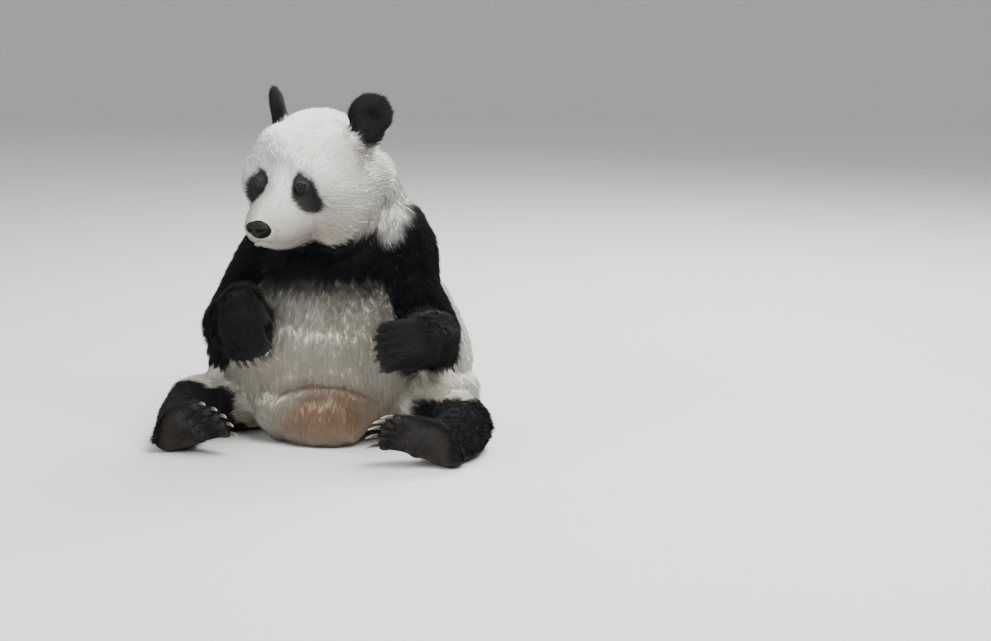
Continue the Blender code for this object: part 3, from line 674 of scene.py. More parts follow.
def new_material(name, **values):
    """A material whose constant sockets hold these values, with _ for each space in a socket's name."""
    made = bpy.data.materials.new(name)
    made.use_nodes = True
    shader = made.node_tree.nodes["Principled BSDF"]
    for key, value in values.items():
        shader.inputs[key.replace("_", " ")].default_value = value
    return made, made.node_tree, shader


def wire(tree, source, target):
    tree.links.new(source, target)


def add(tree, kind, inputs=None, **settings):
    """A new node with its settings, and a socket or a value for each of these inputs."""
    node = tree.nodes.new(kind)
    for key, value in settings.items():
        setattr(node, key, value)
    for key, value in (inputs or {}).items():
        if isinstance(value, bpy.types.NodeSocket):
            wire(tree, value, node.inputs[key])
        else:
            node.inputs[key].default_value = value
    return node


def mixed(tree, amount, first, second):
    """A colour mix; each of amount, first and second is a socket or a value."""
    return add(tree, "ShaderNodeMix", {0: amount, 6: first, 7: second}, data_type="RGBA").outputs[2]


def maths(tree, operation, *values):
    return add(tree, "ShaderNodeMath", dict(enumerate(values)), operation=operation).outputs[0]


def stretched(tree, value, factor):
    """A vector or colour times a number."""
    return add(tree, "ShaderNodeVectorMath", {0: value, "Scale": factor}, operation="SCALE").outputs[0]


def attribute(tree, name):
    return add(tree, "ShaderNodeAttribute", attribute_name=name).outputs


def texture(tree, kind, scale, detail=None, place=None, **settings):
    """A texture laid in the model's own space, or over another place."""
    if place is None:
        place = add(tree, "ShaderNodeTexCoord").outputs["Object"]
    values = {"Vector": place, "Scale": scale}
    if detail is not None:
        values["Detail"] = detail
    return add(tree, f"ShaderNodeTex{kind}", values, **settings).outputs


def roughen(tree, shader, height, distance, strength, **settings):
    """Gives a finish its fine relief."""
    values = {"Height": height, "Distance": distance, "Strength": strength}
    wire(tree, add(tree, "ShaderNodeBump", values, **settings).outputs[0], shader.inputs["Normal"])


def pelt_group():
    """The colours of the pelt from its markings, with a cloudy change of tone."""
    group = bpy.data.node_groups.new("panda_pelt", "ShaderNodeTree")
    for name in ("Patchiness", "Tone"):
        group.interface.new_socket(name, in_out="INPUT", socket_type="NodeSocketFloat")
    group.interface.new_socket("Colour", in_out="OUTPUT", socket_type="NodeSocketColor")
    source = add(group, "NodeGroupInput").outputs
    marks = attribute(group, "markings")
    black, cream, rust = add(group, "ShaderNodeSeparateColor", {0: marks["Color"]}).outputs[:3]
    cloud = texture(group, "Noise", 14.0, 4.0)["Fac"]
    colour = mixed(group, cream, WHITE, CREAM)
    colour = mixed(group, marks["Alpha"], colour, SMOKY)
    colour = mixed(group, rust, colour, RUST)
    colour = mixed(group, black, colour, BLACK_SKY_TINTED)
    change = maths(group, "MULTIPLY_ADD", cloud, source["Patchiness"], 1.0)
    change = maths(group, "SUBTRACT", change, maths(group, "MULTIPLY", source["Patchiness"], 0.5))
    change = maths(group, "MULTIPLY", change, source["Tone"])
    add(group, "NodeGroupOutput", {0: stretched(group, colour, change)})
    return group


PELT = pelt_group()


def pelt_node(tree, patchiness, tone=1.0):
    return add(tree, "ShaderNodeGroup", {"Patchiness": patchiness, "Tone": tone}, node_tree=PELT).outputs[0]


def skin_material():
    made, tree, shader = new_material("pelt_underfur", Specular_IOR_Level=0.25)
    bare = attribute(tree, "bare")["Fac"]
    underfur = mixed(tree, 0.10, pelt_node(tree, 0.25), UNDERFUR)
    wire(tree, mixed(tree, bare, underfur, BARE_SKIN), shader.inputs["Base Color"])
    wire(tree, maths(tree, "MULTIPLY_ADD", bare, -0.38, 0.92), shader.inputs["Roughness"])
    roughen(tree, shader, texture(tree, "Noise", 420.0, 3.0)["Fac"], 0.0012, 0.6)
    return made


def coat_material():
    made, tree, shader = new_material(
        "pelt_tufts", Roughness=0.80, Specular_IOR_Level=0.16, Sheen_Weight=0.04, Sheen_Roughness=0.5
    )
    tone, along, around = (attribute(tree, name)["Fac"] for name in ("tone", "along", "around"))
    # Painted shade: each tuft is darker toward its root, where the tufts shade one another; its tone also
    # varies at random
    root = maths(tree, "MULTIPLY_ADD", along, 0.22, 0.82)
    shade = maths(tree, "MULTIPLY", root, maths(tree, "MULTIPLY_ADD", tone, 0.24, 0.88))
    wire(tree, pelt_node(tree, 0.16, shade), shader.inputs["Base Color"])
    spread = ((around, 26.0), (along, 2.0), (tone, 90.0))
    values = {number: maths(tree, "MULTIPLY", *pair) for number, pair in enumerate(spread)}
    strands = add(tree, "ShaderNodeCombineXYZ", values).outputs[0]
    roughen(tree, shader, texture(tree, "Noise", 1.0, 2.0, strands)["Fac"], 0.0009, 0.7)
    return made


# ---- the coat ----

# (place along, half width, half thickness, height) of each ring of a tuft, before its tip
SHORT_TUFT = ((0.0, 0.46, 0.14, -0.15),)
LONG_TUFT = ((0.0, 0.34, 0.12, -0.22), (0.45, 0.46, 0.15, 0.58))
PATCH = 0.003  # side of a tuft's own patch of the map
UNTIDINESS, CURL = 0.14, 0.11  # how far tufts stray from the lie, and sway for their length
FLOOR_ROOM = 0.004  # hair that would reach below this is pressed flat above the floor


def tuft_mesh(outline, name):
    """One tuft of length, width and lift 1: three-sided and pointed."""
    bm = bmesh.new()
    around = bm.verts.layers.float.new("around")
    along = bm.verts.layers.float.new("along")
    patch = bm.loops.layers.uv.new("patch")
    rings = []
    for place, wide, thick, high in outline:
        ring = []
        for k in range(3):
            turn = math.radians(90 + 120 * k)
            vertex = bm.verts.new((place, wide * math.cos(turn) * 1.15, high + thick * math.sin(turn)))
            vertex[around], vertex[along] = k / 3, place
            ring.append(vertex)
        rings.append(ring)
    tip = bm.verts.new((1.0, 0.0, 1.0))
    tip[around], tip[along] = 0.5, 1.0

    def face(corners, spots):
        made = bm.faces.new(corners)
        made.smooth = True
        for loop, spot in zip(made.loops, spots):
            loop[patch].uv = spot

    for low, high in zip(rings, rings[1:]):
        base, top = low[0][along], high[0][along]
        for k in range(3):
            a, b = k / 3, (k + 1) / 3
            m = (k + 1) % 3
            face((low[k], high[k], high[m]), ((a, base), (a, top), (b, top)))
            face((low[k], high[m], low[m]), ((a, base), (b, top), (b, base)))
    last = rings[-1]
    for k in range(3):
        a, b, top = k / 3, (k + 1) / 3, last[0][along]
        face((last[k], tip, last[(k + 1) % 3]), ((a, top), ((a + b) / 2, 1.0), (b, top)))
    face(rings[0], ((0.2, 0.0), (0.5, 0.2), (0.8, 0.0)))
    bmesh.ops.recalc_face_normals(bm, faces=bm.faces)
    return as_mesh(bm, name)


def coat_tree():
    """Sets a tuft on points spread evenly over a skin, combed along its lie."""
    tree = bpy.data.node_groups.new("combed_coat", "GeometryNodeTree")
    tree.is_modifier = True
    sockets = (
        ("Geometry", ("Skin",)),
        ("Object", ("Tuft",)),
        ("Float", ("Spacing", "Length", "Width", "Lift", "Untidiness", "Curl", "Clump")),
        ("Int", ("Seed",)),
        ("Material", ("Finish",)),
    )
    for kind, names in sockets:
        for name in names:
            tree.interface.new_socket(name, in_out="INPUT", socket_type=f"NodeSocket{kind}")
    tree.interface.new_socket("Coat", in_out="OUTPUT", socket_type="NodeSocketGeometry")
    source = add(tree, "NodeGroupInput").outputs

    def enabled(sockets, name):
        return next(socket for socket in sockets if socket.enabled and socket.name == name)

    def named(name, kind="FLOAT"):
        node = add(tree, "GeometryNodeInputNamedAttribute", {"Name": name}, data_type=kind)
        return node.outputs["Attribute"]

    def named_vector(name):
        return named(name, "FLOAT_VECTOR")

    def times(first, second):
        return maths(tree, "MULTIPLY", first, second)

    def vector(operation, *values):
        node = add(tree, "ShaderNodeVectorMath", dict(enumerate(values)), operation=operation)
        return node.outputs["Value" if operation == "DOT_PRODUCT" else "Vector"]

    def chance(low, high, shift, kind="FLOAT"):
        seed = maths(tree, "ADD", source["Seed"], float(shift))
        node = add(tree, "FunctionNodeRandomValue", {"Seed": seed}, data_type=kind)
        enabled(node.inputs, "Min").default_value = low
        enabled(node.inputs, "Max").default_value = high
        return enabled(node.outputs, "Value")

    def store(geometry, name, value, kind="FLOAT_VECTOR"):
        values = {"Geometry": geometry, "Name": name, "Value": value}
        node = add(tree, "GeometryNodeStoreNamedAttribute", values, data_type=kind, domain="POINT")
        return node.outputs["Geometry"]

    def scatter(spacing, cover, shift):
        values = {
            "Mesh": source["Skin"],
            "Distance Min": source[spacing],
            "Density Max": maths(tree, "DIVIDE", 4.0, times(source[spacing], source[spacing])),
            "Seed": maths(tree, "ADD", source["Seed"], float(shift)),
        }
        if cover:
            values["Density Factor"] = named(cover)
        return add(tree, "GeometryNodeDistributePointsOnFaces", values, distribute_method="POISSON").outputs

    spread = scatter("Spacing", "cover", 0)
    centres = scatter("Clump", None, 5)["Points"]
    here = add(tree, "GeometryNodeInputPosition").outputs[0]
    nearest = add(tree, "GeometryNodeSampleNearest", {"Geometry": centres}, domain="POINT").outputs["Index"]
    values = {"Geometry": centres, "Index": nearest}
    centre = add(tree, "GeometryNodeSampleIndex", values, data_type="FLOAT_VECTOR", domain="POINT")
    wire(tree, here, enabled(centre.inputs, "Value"))
    points = store(spread["Points"], "root", here)
    points = store(points, "draw", vector("SUBTRACT", enabled(centre.outputs, "Value"), here))
    points = store(points, "tone", chance(0.0, 1.0, 11), "FLOAT")
    points = store(points, "facing", spread["Normal"])

    jitter = stretched(tree, chance((-1, -1, -1), (1, 1, 1), 23, "FLOAT_VECTOR"), source["Untidiness"])
    points = store(points, "comb", vector("ADD", named_vector("lie"), jitter))
    facing, lie = named_vector("facing"), named_vector("comb")
    side = vector("NORMALIZE", vector("CROSS_PRODUCT", facing, lie))
    length = named("hair_length")
    wave = times(times(length, source["Curl"]), chance(-1.0, 1.0, 37))
    gather = times(maths(tree, "MINIMUM", times(length, 38.0), 1.0), chance(0.15, 0.85, 39))
    inward = times(vector("DOT_PRODUCT", named_vector("draw"), side), gather)
    points = store(points, "sway", stretched(tree, side, maths(tree, "ADD", wave, inward)))

    values = {"Primary Axis": facing, "Secondary Axis": lie}
    turn = add(tree, "FunctionNodeAxesToRotation", values, primary_axis="Z", secondary_axis="X")
    spans = (
        ("Length", "hair_length", 0.75, 1.2, 41),
        ("Width", "hair_width", 0.75, 1.25, 43),
        ("Lift", "hair_lift", 0.50, 1.15, 47),
    )
    values = {
        number: times(times(named(name), source[factor]), chance(low, high, shift))
        for number, (factor, name, low, high, shift) in enumerate(spans)
    }
    size = add(tree, "ShaderNodeCombineXYZ", values)
    lock = add(tree, "GeometryNodeObjectInfo", {"Object": source["Tuft"]}, transform_space="ORIGINAL")
    values = {"Points": points, "Instance": lock.outputs["Geometry"], "Rotation": turn.outputs[0]}
    sown = add(tree, "GeometryNodeInstanceOnPoints", values | {"Scale": size.outputs[0]})
    real = add(tree, "GeometryNodeRealizeInstances", {0: sown.outputs[0]})
    along = named("along")
    sway = stretched(tree, named_vector("sway"), times(along, along))
    bend = add(tree, "GeometryNodeSetPosition", {"Geometry": real.outputs[0], "Offset": sway})
    values = {"Geometry": bend.outputs[0], "Material": source["Finish"]}
    finish = add(tree, "GeometryNodeSetMaterial", values)
    add(tree, "NodeGroupOutput", {0: finish.outputs[0]})
    return tree


def spun(points, centre, axis, start):
    """Unwraps points round an axis: the turn, from 0 to 1, and the way along."""
    axis = Vector(axis).normalized()
    zero = (Vector(start) - axis * Vector(start).dot(axis)).normalized()
    third = axis.cross(zero)
    local = points - np.array(centre)
    turn = np.arctan2(local @ np.array(third), local @ np.array(zero)) / (2 * math.pi) + 0.5
    return np.c_[turn, local @ np.array(axis)]


def limb_unwrap(line):
    """Round each length of the limb, one length above the other."""

    def unwrap(points):
        lows = [np.array(point) for point in line]
        best, found = np.full(len(points), 9.0), np.zeros((len(points), 2))
        for step, (a, b) in enumerate(zip(lows, lows[1:])):
            along = np.clip(((points - a) @ (b - a)) / ((b - a) @ (b - a)), -0.4, 1.3)
            off = np.linalg.norm(points - a - np.clip(along, 0, 1)[:, None] * (b - a), axis=1)
            round_it = spun(points, a, b - a, (0, 1, 0.2))
            here = off < best
            best[here] = off[here]
            found[here] = np.c_[round_it[:, 0], step * 1.8 + along][here]
        return found

    return unwrap


def head_unwrap(points):
    turn = HEAD.to_3x3()
    return spun(points, HEAD.translation, turn @ Vector((0, 0.6, 1)), turn @ Vector((0, 1, 0)))


def trunk_unwrap(points):
    return spun(points, placed(0, 0.05, 0), (0, 0, 1), (0, -1, 0))


def ear_unwrap(points):
    """Each side of each ear laid flat in its own quarter."""
    forward, left, up = head_points(points).T
    seen = forward > -0.062 + 0.25 * (np.abs(left) - 0.15)
    return np.c_[(left > 0) * 0.5 + (np.abs(left) - 0.15) * 2.0, seen * 0.4 + (up - 0.13) * 1.5]


def laid_out(places):
    """Fits an unwrap into the map with a small margin."""
    low, high = places.min(0), places.max(0)
    return 0.02 + 0.96 * (places - low) / np.maximum(high - low, 1e-6)


def region(skin, chosen, name):
    """A copy of the skin's faces whose corners are mostly chosen."""
    bm = bmesh.new()
    bm.from_mesh(skin.data)
    bm.verts.ensure_lookup_table()
    drop = []
    for face in bm.faces:
        if sum(chosen[vertex.index] for vertex in face.verts) * 2 < len(face.verts):
            drop.append(face)
    bmesh.ops.delete(bm, geom=drop, context="FACES")
    return link(as_mesh(bm, name), name)


# What a finished coat piece no longer needs to know about its tufts
SPARE = ("root", "draw", "facing", "comb", "sway", "lie", "cover", "bare", "patch")
SPARE += ("hair_length", "hair_width", "hair_lift")


def coat_piece(skin, tree, finish, seed, name, tuft, chosen, spacing, clump, size, unwrap):
    """One region's coat as plain mesh, each tuft with its own patch of the map."""
    length, width, lift = size
    coat = region(skin, chosen, name)
    modifier = coat.modifiers.new("coat", "NODES")
    modifier.node_group = tree
    values = {"Tuft": tuft, "Spacing": spacing, "Length": length, "Width": width, "Lift": lift}
    values |= {"Untidiness": UNTIDINESS, "Curl": CURL, "Clump": clump, "Seed": seed, "Finish": finish}
    for item in tree.interface.items_tree:
        if item.in_out == "INPUT" and item.name in values:
            modifier[item.identifier] = values[item.name]
    plain(coat)
    mesh = coat.data
    points = positions(mesh)
    under = points[:, 2] < FLOOR_ROOM
    points[under, 2] = FLOOR_ROOM * np.exp(points[under, 2] / FLOOR_ROOM - 1)
    move_to(mesh, points)
    place = laid_out(unwrap(read(mesh.attributes["root"].data, "vector", 3, np.float32)))
    corner = read(mesh.loops, "vertex_index", 1, int)[:, 0]
    spot = place[corner] + (read(mesh.attributes["patch"].data, "vector", 2, np.float32) - 0.5) * PATCH
    for spare in SPARE:
        if spare in mesh.attributes:
            mesh.attributes.remove(mesh.attributes[spare])
    layer = mesh.uv_layers.new(name="OFBake")
    layer.uv.foreach_set("vector", spot.astype(np.float32).ravel())
    return coat


# ---- the whole animal ----


def combed(outer, node, facing, low, edges):
    """The lie of the coat along the skin, unruly in places, and outward where the animal meets the floor."""
    lie = eased(lie_of_coat(outer, node), edges, 14)
    calm = np.where(np.isin(PARTS[node], ("head", "ear")), 0.5, 1.0)
    lie += (0.30 * swirl(outer, 0.050) + 0.22 * swirl(outer, 0.018)) * calm[:, None]
    lie = unit(lie - facing * (lie * facing).sum(1)[:, None])
    outward = unit(np.c_[facing[:, :2], np.zeros(len(facing))])
    return unit(lie * (1 - 0.8 * low)[:, None] + outward * (0.8 * low)[:, None])


def dress():
    """Marks the skin, then lays the coat on it, region by region, and sets the pads."""
    skin, outer, node, sizes, lips = make_skin()
    mesh = skin.data
    edges = read(mesh.edges, "vertices", 2, int)
    inner = positions(mesh)
    facing = normals(mesh)
    black = black_parts(outer, node, edges)
    marks = stains_shade_and_sheen(outer, node, black)
    low = 1 - ramp(outer[:, 2], 0.0, 0.05)
    lie = combed(outer, node, facing, low, edges)

    cover = 1 - ramp(-facing[:, 2], 0.55, 0.85) * (outer[:, 2] < 0.03)
    bare = np.zeros(len(outer))
    for side, word in SIDES:
        local = eye_view(inner, side, word)[0]
        opening = np.hypot(local[:, 0] / LID_ACROSS, local[:, 1] / LID_HIGH)
        near = np.linalg.norm(local, axis=1) < 0.03
        cover *= 1 - near * (1 - ramp(opening, 1.35, 1.7))
        bare = np.maximum(bare, near * (1 - ramp(opening, 1.3, 1.6)))
    nose = nose_seat(outer)
    cover *= 1 - ramp(nose, -0.06, 0.02)
    bare = np.maximum(bare, ramp(nose, -0.10, 0.0))
    cover *= ramp(lips, 0.0016, 0.0045)
    bare = np.maximum(bare, 1 - ramp(lips, 0.0012, 0.0045))
    names = np.array(FLESH)[node]
    surface = surface_of(mesh)
    pads = {}
    short = np.zeros(len(outer))
    for paw in PAWS:
        palm_side = -np.array(paw_axes(paw).col[2][:3])
        short = np.maximum(short, ramp(facing @ palm_side, 0.1, 0.7) * (names == paw))
        pads[paw] = []
        for centre, out, along, size in pad_places(paw):
            hit, normal, _, _ = surface.ray_cast(centre, out, 0.08)
            if hit is None:
                continue
            pads[paw].append((hit, normal, along, size))
            gap = span_to(inner, hit) / max(size)
            cover *= ramp(gap, 0.62, 0.95)
            bare = np.maximum(bare, 1 - ramp(gap, 0.8, 1.1))
    sizes[:, 1] *= 1 - 0.40 * short
    sizes[:, 2] *= 1 - 0.45 * short

    for name, kind, values in (
        ("markings", "FLOAT_COLOR", marks),
        ("lie", "FLOAT_VECTOR", lie),
        ("hair_length", "FLOAT", sizes[:, 1] * (1 - 0.35 * low)),
        ("hair_lift", "FLOAT", sizes[:, 2] * (1 - 0.7 * low)),
        ("hair_width", "FLOAT", sizes[:, 3]),
        ("cover", "FLOAT", cover),
        ("bare", "FLOAT", bare),
    ):
        keep(mesh, name, kind, values)
    wear(skin, skin_material())
    settle(skin, "white_fur", *FLESH)
    lay_coat(skin, outer, names)
    make_pads(pads)


def lay_coat(skin, outer, names):
    """The coat, region by region: a fine short coat all over, and longer guard hair over part of it."""
    tree, finish = coat_tree(), coat_material()
    long, short = link(tuft_mesh(LONG_TUFT, "long"), "long"), link(tuft_mesh(SHORT_TUFT, "short"), "short")
    forward = head_points(outer)[:, 0]
    x, y, _ = (outer - np.array(SHIFT)).T
    front = y < 0.02
    head, belly, chest = names == "head", names == "belly", names == "chest"
    rump, behind = belly & ~front, (belly | chest) & ~front | np.isin(names, ("neck", "tail"))
    usual, guard, limb_guard = (1.0, 1.0, 1.0), (1.12, 1.05, 1.15), (1.08, 0.95, 1.0)
    # Name, tuft, region, spacing, size of a clump, (length, width, lift), unwrap and slot
    places = [
        ("coat_face", short, head & (forward > 0.03), 0.0013, 0.0085, usual, head_unwrap, "white_fur"),
        ("coat_crown", short, head & (forward <= 0.03), 0.0014, 0.012, usual, head_unwrap, "white_fur"),
        ("coat_neck", short, names == "neck", 0.0016, 0.015, usual, trunk_unwrap, "white_fur"),
        ("coat_ears", short, np.char.startswith(names, "ear"), 0.0013, 0.007, usual, ear_unwrap, "black_fur"),
        ("coat_chest", short, chest & front, 0.0017, 0.017, usual, trunk_unwrap, "black_fur"),
        ("coat_shoulders", short, chest & ~front, 0.0019, 0.017, usual, trunk_unwrap, "black_fur"),
        ("coat_belly", short, belly & front, 0.0018, 0.018, usual, trunk_unwrap, "cream_fur"),
        ("coat_rump_left", short, rump & (x > 0), 0.0023, 0.018, usual, trunk_unwrap, "cream_fur"),
        ("coat_rump_right", short, rump & (x <= 0), 0.0023, 0.018, usual, trunk_unwrap, "cream_fur"),
        ("coat_tail", short, names == "tail", 0.0016, 0.014, usual, trunk_unwrap, "white_fur"),
        ("guard_head", long, head & (forward < 0.12), 0.0050, 0.012, guard, head_unwrap, "white_fur"),
        ("guard_back", long, behind, 0.0080, 0.018, guard, trunk_unwrap, "cream_fur"),
    ]
    for _, word in SIDES:
        for kind, parts in (("arm", LIMBS[:2]), ("leg", LIMBS[3:5])):
            limb = np.isin(names, [f"{part}_{word}" for part in parts])
            end = (limb_unwrap(LINES[f"{kind}_{word}"]), "black_fur")
            places.append((f"coat_{kind}_{word}", short, limb, 0.0020, 0.016, usual, *end))
            places.append((f"guard_{kind}_{word}", long, limb, 0.0075, 0.016, limb_guard, *end))
        for paw in ("forepaw", "foot"):
            end = (limb_unwrap(limb_line(paw, word)), "black_fur")
            places.append((f"coat_{paw}_{word}", short, names == f"{paw}_{word}", 0.0016, 0.010, usual, *end))
    for number, (*place, slot) in enumerate(places):
        settle(coat_piece(skin, tree, finish, 100 * number + 7, *place), slot)
    for spare in (long, short):
        bpy.data.objects.remove(spare, do_unlink=True)


CORNEA = 0.62  # reach of the bulge at the front of an eye, as an angle from the pole
# The colours of an eye from the middle of the pupil outward, each with the angle where it starts, halved
EYE_COLOURS = (
    (0.0, (0.002, 0.002, 0.002, 1)),
    (0.20, (0.002, 0.002, 0.002, 1)),
    (0.225, (0.013, 0.007, 0.004, 1)),
    (0.40, (0.022, 0.012, 0.007, 1)),
    (0.44, (0.004, 0.003, 0.003, 1)),
    (0.50, (0.014, 0.010, 0.009, 1)),
    (1.0, (0.022, 0.016, 0.014, 1)),
)


def ball_mesh(centre, radius, axes):
    """A sphere whose pole looks out along the last axis, with its place from pole to pole kept."""
    bm = bmesh.new()
    bmesh.ops.create_uvsphere(bm, u_segments=48, v_segments=32, radius=radius)
    turn = Matrix([list(axis) for axis in axes]).transposed().to_4x4()
    gaze = bm.verts.layers.float.new("gaze")
    for vertex in bm.verts:
        vertex[gaze] = math.acos(max(-1, min(1, vertex.co.z / radius)))
        bulge = max(0.0, 1 - (vertex[gaze] / CORNEA) ** 2)
        vertex.co *= 1 + 0.05 * bulge
    bm.transform(Matrix.Translation(centre) @ turn)
    return as_mesh(bm, "ball")


def eye_material():
    made, tree, shader = new_material(
        "wet_eye", Roughness=0.12, Specular_IOR_Level=0.05, Coat_Weight=0.45, Coat_Roughness=0.03
    )
    half = maths(tree, "MULTIPLY", attribute(tree, "gaze")["Fac"], 0.5)
    iris = add(tree, "ShaderNodeValToRGB", {0: half})
    stops = iris.color_ramp.elements
    stops[0].color, stops[-1].color = EYE_COLOURS[0][1], EYE_COLOURS[-1][1]
    for place, colour in EYE_COLOURS[1:-1]:
        stops.new(place).color = colour
    wire(tree, iris.outputs[0], shader.inputs["Base Color"])
    return made


def make_eyes():
    finish = eye_material()
    for side, word in SIDES:
        eye = link(ball_mesh(middle(f"eye_{word}"), EYE_RADIUS, eye_axes(side)), f"eyeball_{word}")
        wear(eye, finish)
        settle(eye, "eye", f"eye_{word}")


def nose_material():
    made, tree, shader = new_material(
        "nose_leather", Roughness=0.50, Specular_IOR_Level=0.14, Coat_Weight=0.05, Coat_Roughness=0.35
    )
    blotch = texture(tree, "Noise", 60.0)["Fac"]
    leather = mixed(tree, blotch, (0.004, 0.004, 0.005, 1), (0.011, 0.010, 0.010, 1))
    # Painted shade: the leather darkens toward black the deeper it is sunk, in the nostrils and the groove
    # between them
    hollow_shade = mixed(tree, attribute(tree, "sunk")["Fac"], leather, (0.001, 0.001, 0.001, 1))
    wire(tree, hollow_shade, shader.inputs["Base Color"])
    roughen(tree, shader, texture(tree, "Voronoi", 620.0)["Distance"], 0.0006, 0.8, invert=True)
    return made


def make_nose():
    """The nose pad with its nostrils and the groove between them."""
    nose = fuse(merged(["nose"], SOLID_GROWTH, "nose_pad"), 0.0010, 8)
    mesh = nose.data
    points = positions(mesh)
    forward, left, up = head_points(points).T
    back = np.array(HEAD.to_3x3() @ Vector((0, 1, 0)))
    front = ramp(forward, NOSE_FORWARD - 0.004, NOSE_FORWARD + 0.006)
    rise = up - NOSE_UP
    sunk = np.zeros(len(points))
    for side in (1, -1):
        a = side * left
        hole = hump(a - 0.0125, 0.0048) * hump(rise + 0.003, 0.0046)
        slit = hump(np.maximum(np.abs(a - 0.021) - 0.006, 0), 0.003)
        slit *= hump(rise + 0.002 - 14.0 * (a - 0.021) ** 2, 0.0021)
        sunk = np.maximum(sunk, np.maximum(0.0090 * hole, 0.0050 * slit))
    sunk += 0.0022 * hump(left, 0.0013) * ramp(0.002 - rise, 0.0, 0.006)
    sunk -= 0.0010 * hump(rise - 0.008, 0.005)
    points += np.outer(sunk * front, back)
    move_to(mesh, points)
    # How deep each point is sunk, which the nose's finish turns into painted shade
    keep(mesh, "sunk", "FLOAT", np.clip(sunk / 0.005, 0, 1))
    wear(nose, nose_material())
    settle(nose, "nose", "nose")


def pad_material():
    made, tree, shader = new_material("pad_leather", Roughness=0.66, Specular_IOR_Level=0.3)
    blotch = texture(tree, "Noise", 90.0, 6.0)["Fac"]
    leather = mixed(tree, blotch, (0.004, 0.0035, 0.0035, 1), (0.013, 0.0105, 0.0100, 1))
    wire(tree, leather, shader.inputs["Base Color"])
    creases = texture(tree, "Voronoi", 380.0, feature="DISTANCE_TO_EDGE")["Distance"]
    roughen(tree, shader, creases, 0.0007, 0.8)
    return made


PAD_SUNK, PAD_THICK = 0.002, 0.0054


def make_pads(pads):
    """Leathery pads under the toes and across each palm or sole, fused where they meet."""
    finish = pad_material()
    for paw, places in pads.items():
        bm = bmesh.new()
        for spot, normal, along, (wide, long) in places:
            y = (along - normal * along.dot(normal)).normalized()
            axes = Matrix((y.cross(normal), y, normal)).transposed().to_4x4()
            shape = Matrix.Translation(spot - normal * PAD_SUNK) @ axes
            shape = shape @ Matrix.Diagonal((wide, long, PAD_THICK, 1))
            bmesh.ops.create_icosphere(bm, subdivisions=3, radius=1, matrix=shape)
        piece = fuse(link(as_mesh(bm, f"pads_{paw}"), f"pads_{paw}"), 0.0015, 5)
        wear(piece, finish)
        settle(piece, "black_fur")


def claw_material():
    made, tree, shader = new_material("claw_horn", Roughness=0.32)
    streak = texture(tree, "Noise", 130.0, 5.0)["Fac"]
    horn = mixed(tree, attribute(tree, "tip")["Fac"], (0.045, 0.036, 0.030, 1), (0.42, 0.36, 0.28, 1))
    streaked = mixed(tree, maths(tree, "MULTIPLY", streak, 0.45), horn, (0.10, 0.080, 0.062, 1))
    wire(tree, streaked, shader.inputs["Base Color"])
    roughen(tree, shader, streak, 0.0004, 0.5)
    return made


def make_claws():
    """The claws of each paw, rounded, and pale toward their tips."""
    finish = claw_material()
    for paw, nodes in CLAWS.items():
        claws = merged(nodes, SOLID_GROWTH, f"claws_{paw}")
        rounder = claws.modifiers.new("round", "SUBSURF")
        rounder.levels = rounder.render_levels = 2
        plain(claws)
        reach = span_to(positions(claws.data), limb_line(*paw.split("_"))[2])
        keep(claws.data, "tip", "FLOAT", ramp(reach, np.percentile(reach, 35), reach.max()))
        wear(claws, finish)
        settle(claws, "claw", *nodes)


# ---- floor, light and camera ----

AZIMUTH, ELEVATION = math.radians(18), math.radians(12)
DISTANCE, LENS = 6.7, 94.4
AIM_RIGHT, AIM_UP = 0.414, 0.269


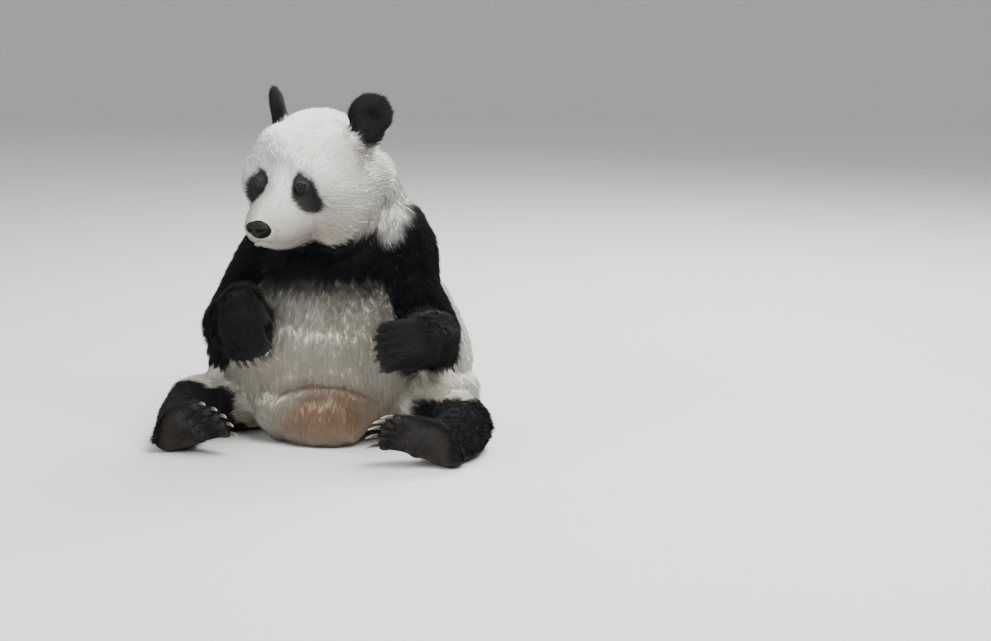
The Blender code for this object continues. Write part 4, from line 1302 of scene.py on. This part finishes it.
def set_stage():
    """A pale floor that sweeps up into a wall far off on every side."""
    outline = [(0.01, 0), (3, 0), (6, 0), (9, 0)]
    outline += [(9 + 6 * math.sin(turn), 6 - 6 * math.cos(turn)) for turn in np.radians(range(6, 91, 6))]
    outline.append((15, 10))
    bm = bmesh.new()
    rings = []
    ways = [(math.cos(turn), math.sin(turn)) for turn in np.radians(range(0, 360, 5))]
    for radius, height in outline:
        rings.append([bm.verts.new((radius * x, radius * y, height)) for x, y in ways])
    bm.faces.new(rings[0])
    for low, high in zip(rings, rings[1:]):
        for k in range(len(low)):
            bm.faces.new((low[k - 1], high[k - 1], high[k], low[k])).smooth = True
    bmesh.ops.recalc_face_normals(bm, faces=bm.faces)
    bmesh.ops.reverse_faces(bm, faces=[face for face in bm.faces if bm.faces[0].normal.z < 0])
    floor = link(as_mesh(bm, "studio_floor"), "studio_floor")
    made, _, _ = new_material("pale_floor", Roughness=0.85, Base_Color=(0.60, 0.60, 0.585, 1))
    floor.data.materials.append(made)
    world = bpy.data.worlds.new("studio")
    world.use_nodes = True
    sky = world.node_tree.nodes["Background"]
    sky.inputs[0].default_value = (0.82, 0.86, 0.90, 1)
    sky.inputs[1].default_value = 0.8
    bpy.context.scene.world = world


def add_light(name, place, target, size, power, colour):
    data = bpy.data.lights.new(name, "AREA")
    data.size, data.energy, data.color = size, power, colour
    lamp = link(data, name)
    lamp.location = place
    lamp.rotation_mode = "QUATERNION"
    lamp.rotation_quaternion = (Vector(target) - Vector(place)).to_track_quat("-Z", "Y")


def set_camera():
    right = Vector((math.cos(AZIMUTH), math.sin(AZIMUTH), 0))
    level = math.cos(ELEVATION)
    back = Vector((math.sin(AZIMUTH) * level, -math.cos(AZIMUTH) * level, math.sin(ELEVATION)))
    up = back.cross(right)
    camera = link(bpy.data.cameras.new("camera"), "camera")
    camera.data.lens = LENS
    camera.location = back * DISTANCE + SHIFT
    camera.rotation_mode = "QUATERNION"
    aim = right * AIM_RIGHT + up * AIM_UP + SHIFT
    camera.rotation_quaternion = (aim - camera.location).to_track_quat("-Z", "Y")
    bpy.context.scene.camera = camera


set_camera()
set_stage()
add_light("soft_key", (2.0, -1.5, 4.3), (0, 0, 0.45), 3.0, 470, (1.0, 0.99, 0.965))
add_light("soft_fill", (-2.6, -3.4, 2.4), (0, 0, 0.45), 3.0, 130, (0.94, 0.97, 1.0))
add_light("soft_back", (0.8, 3.2, 3.6), (0, 0, 0.5), 2.4, 350, (1.0, 1.0, 1.0))
dress()
make_eyes()
make_nose()
make_claws()
bpy.context.view_layer.update()
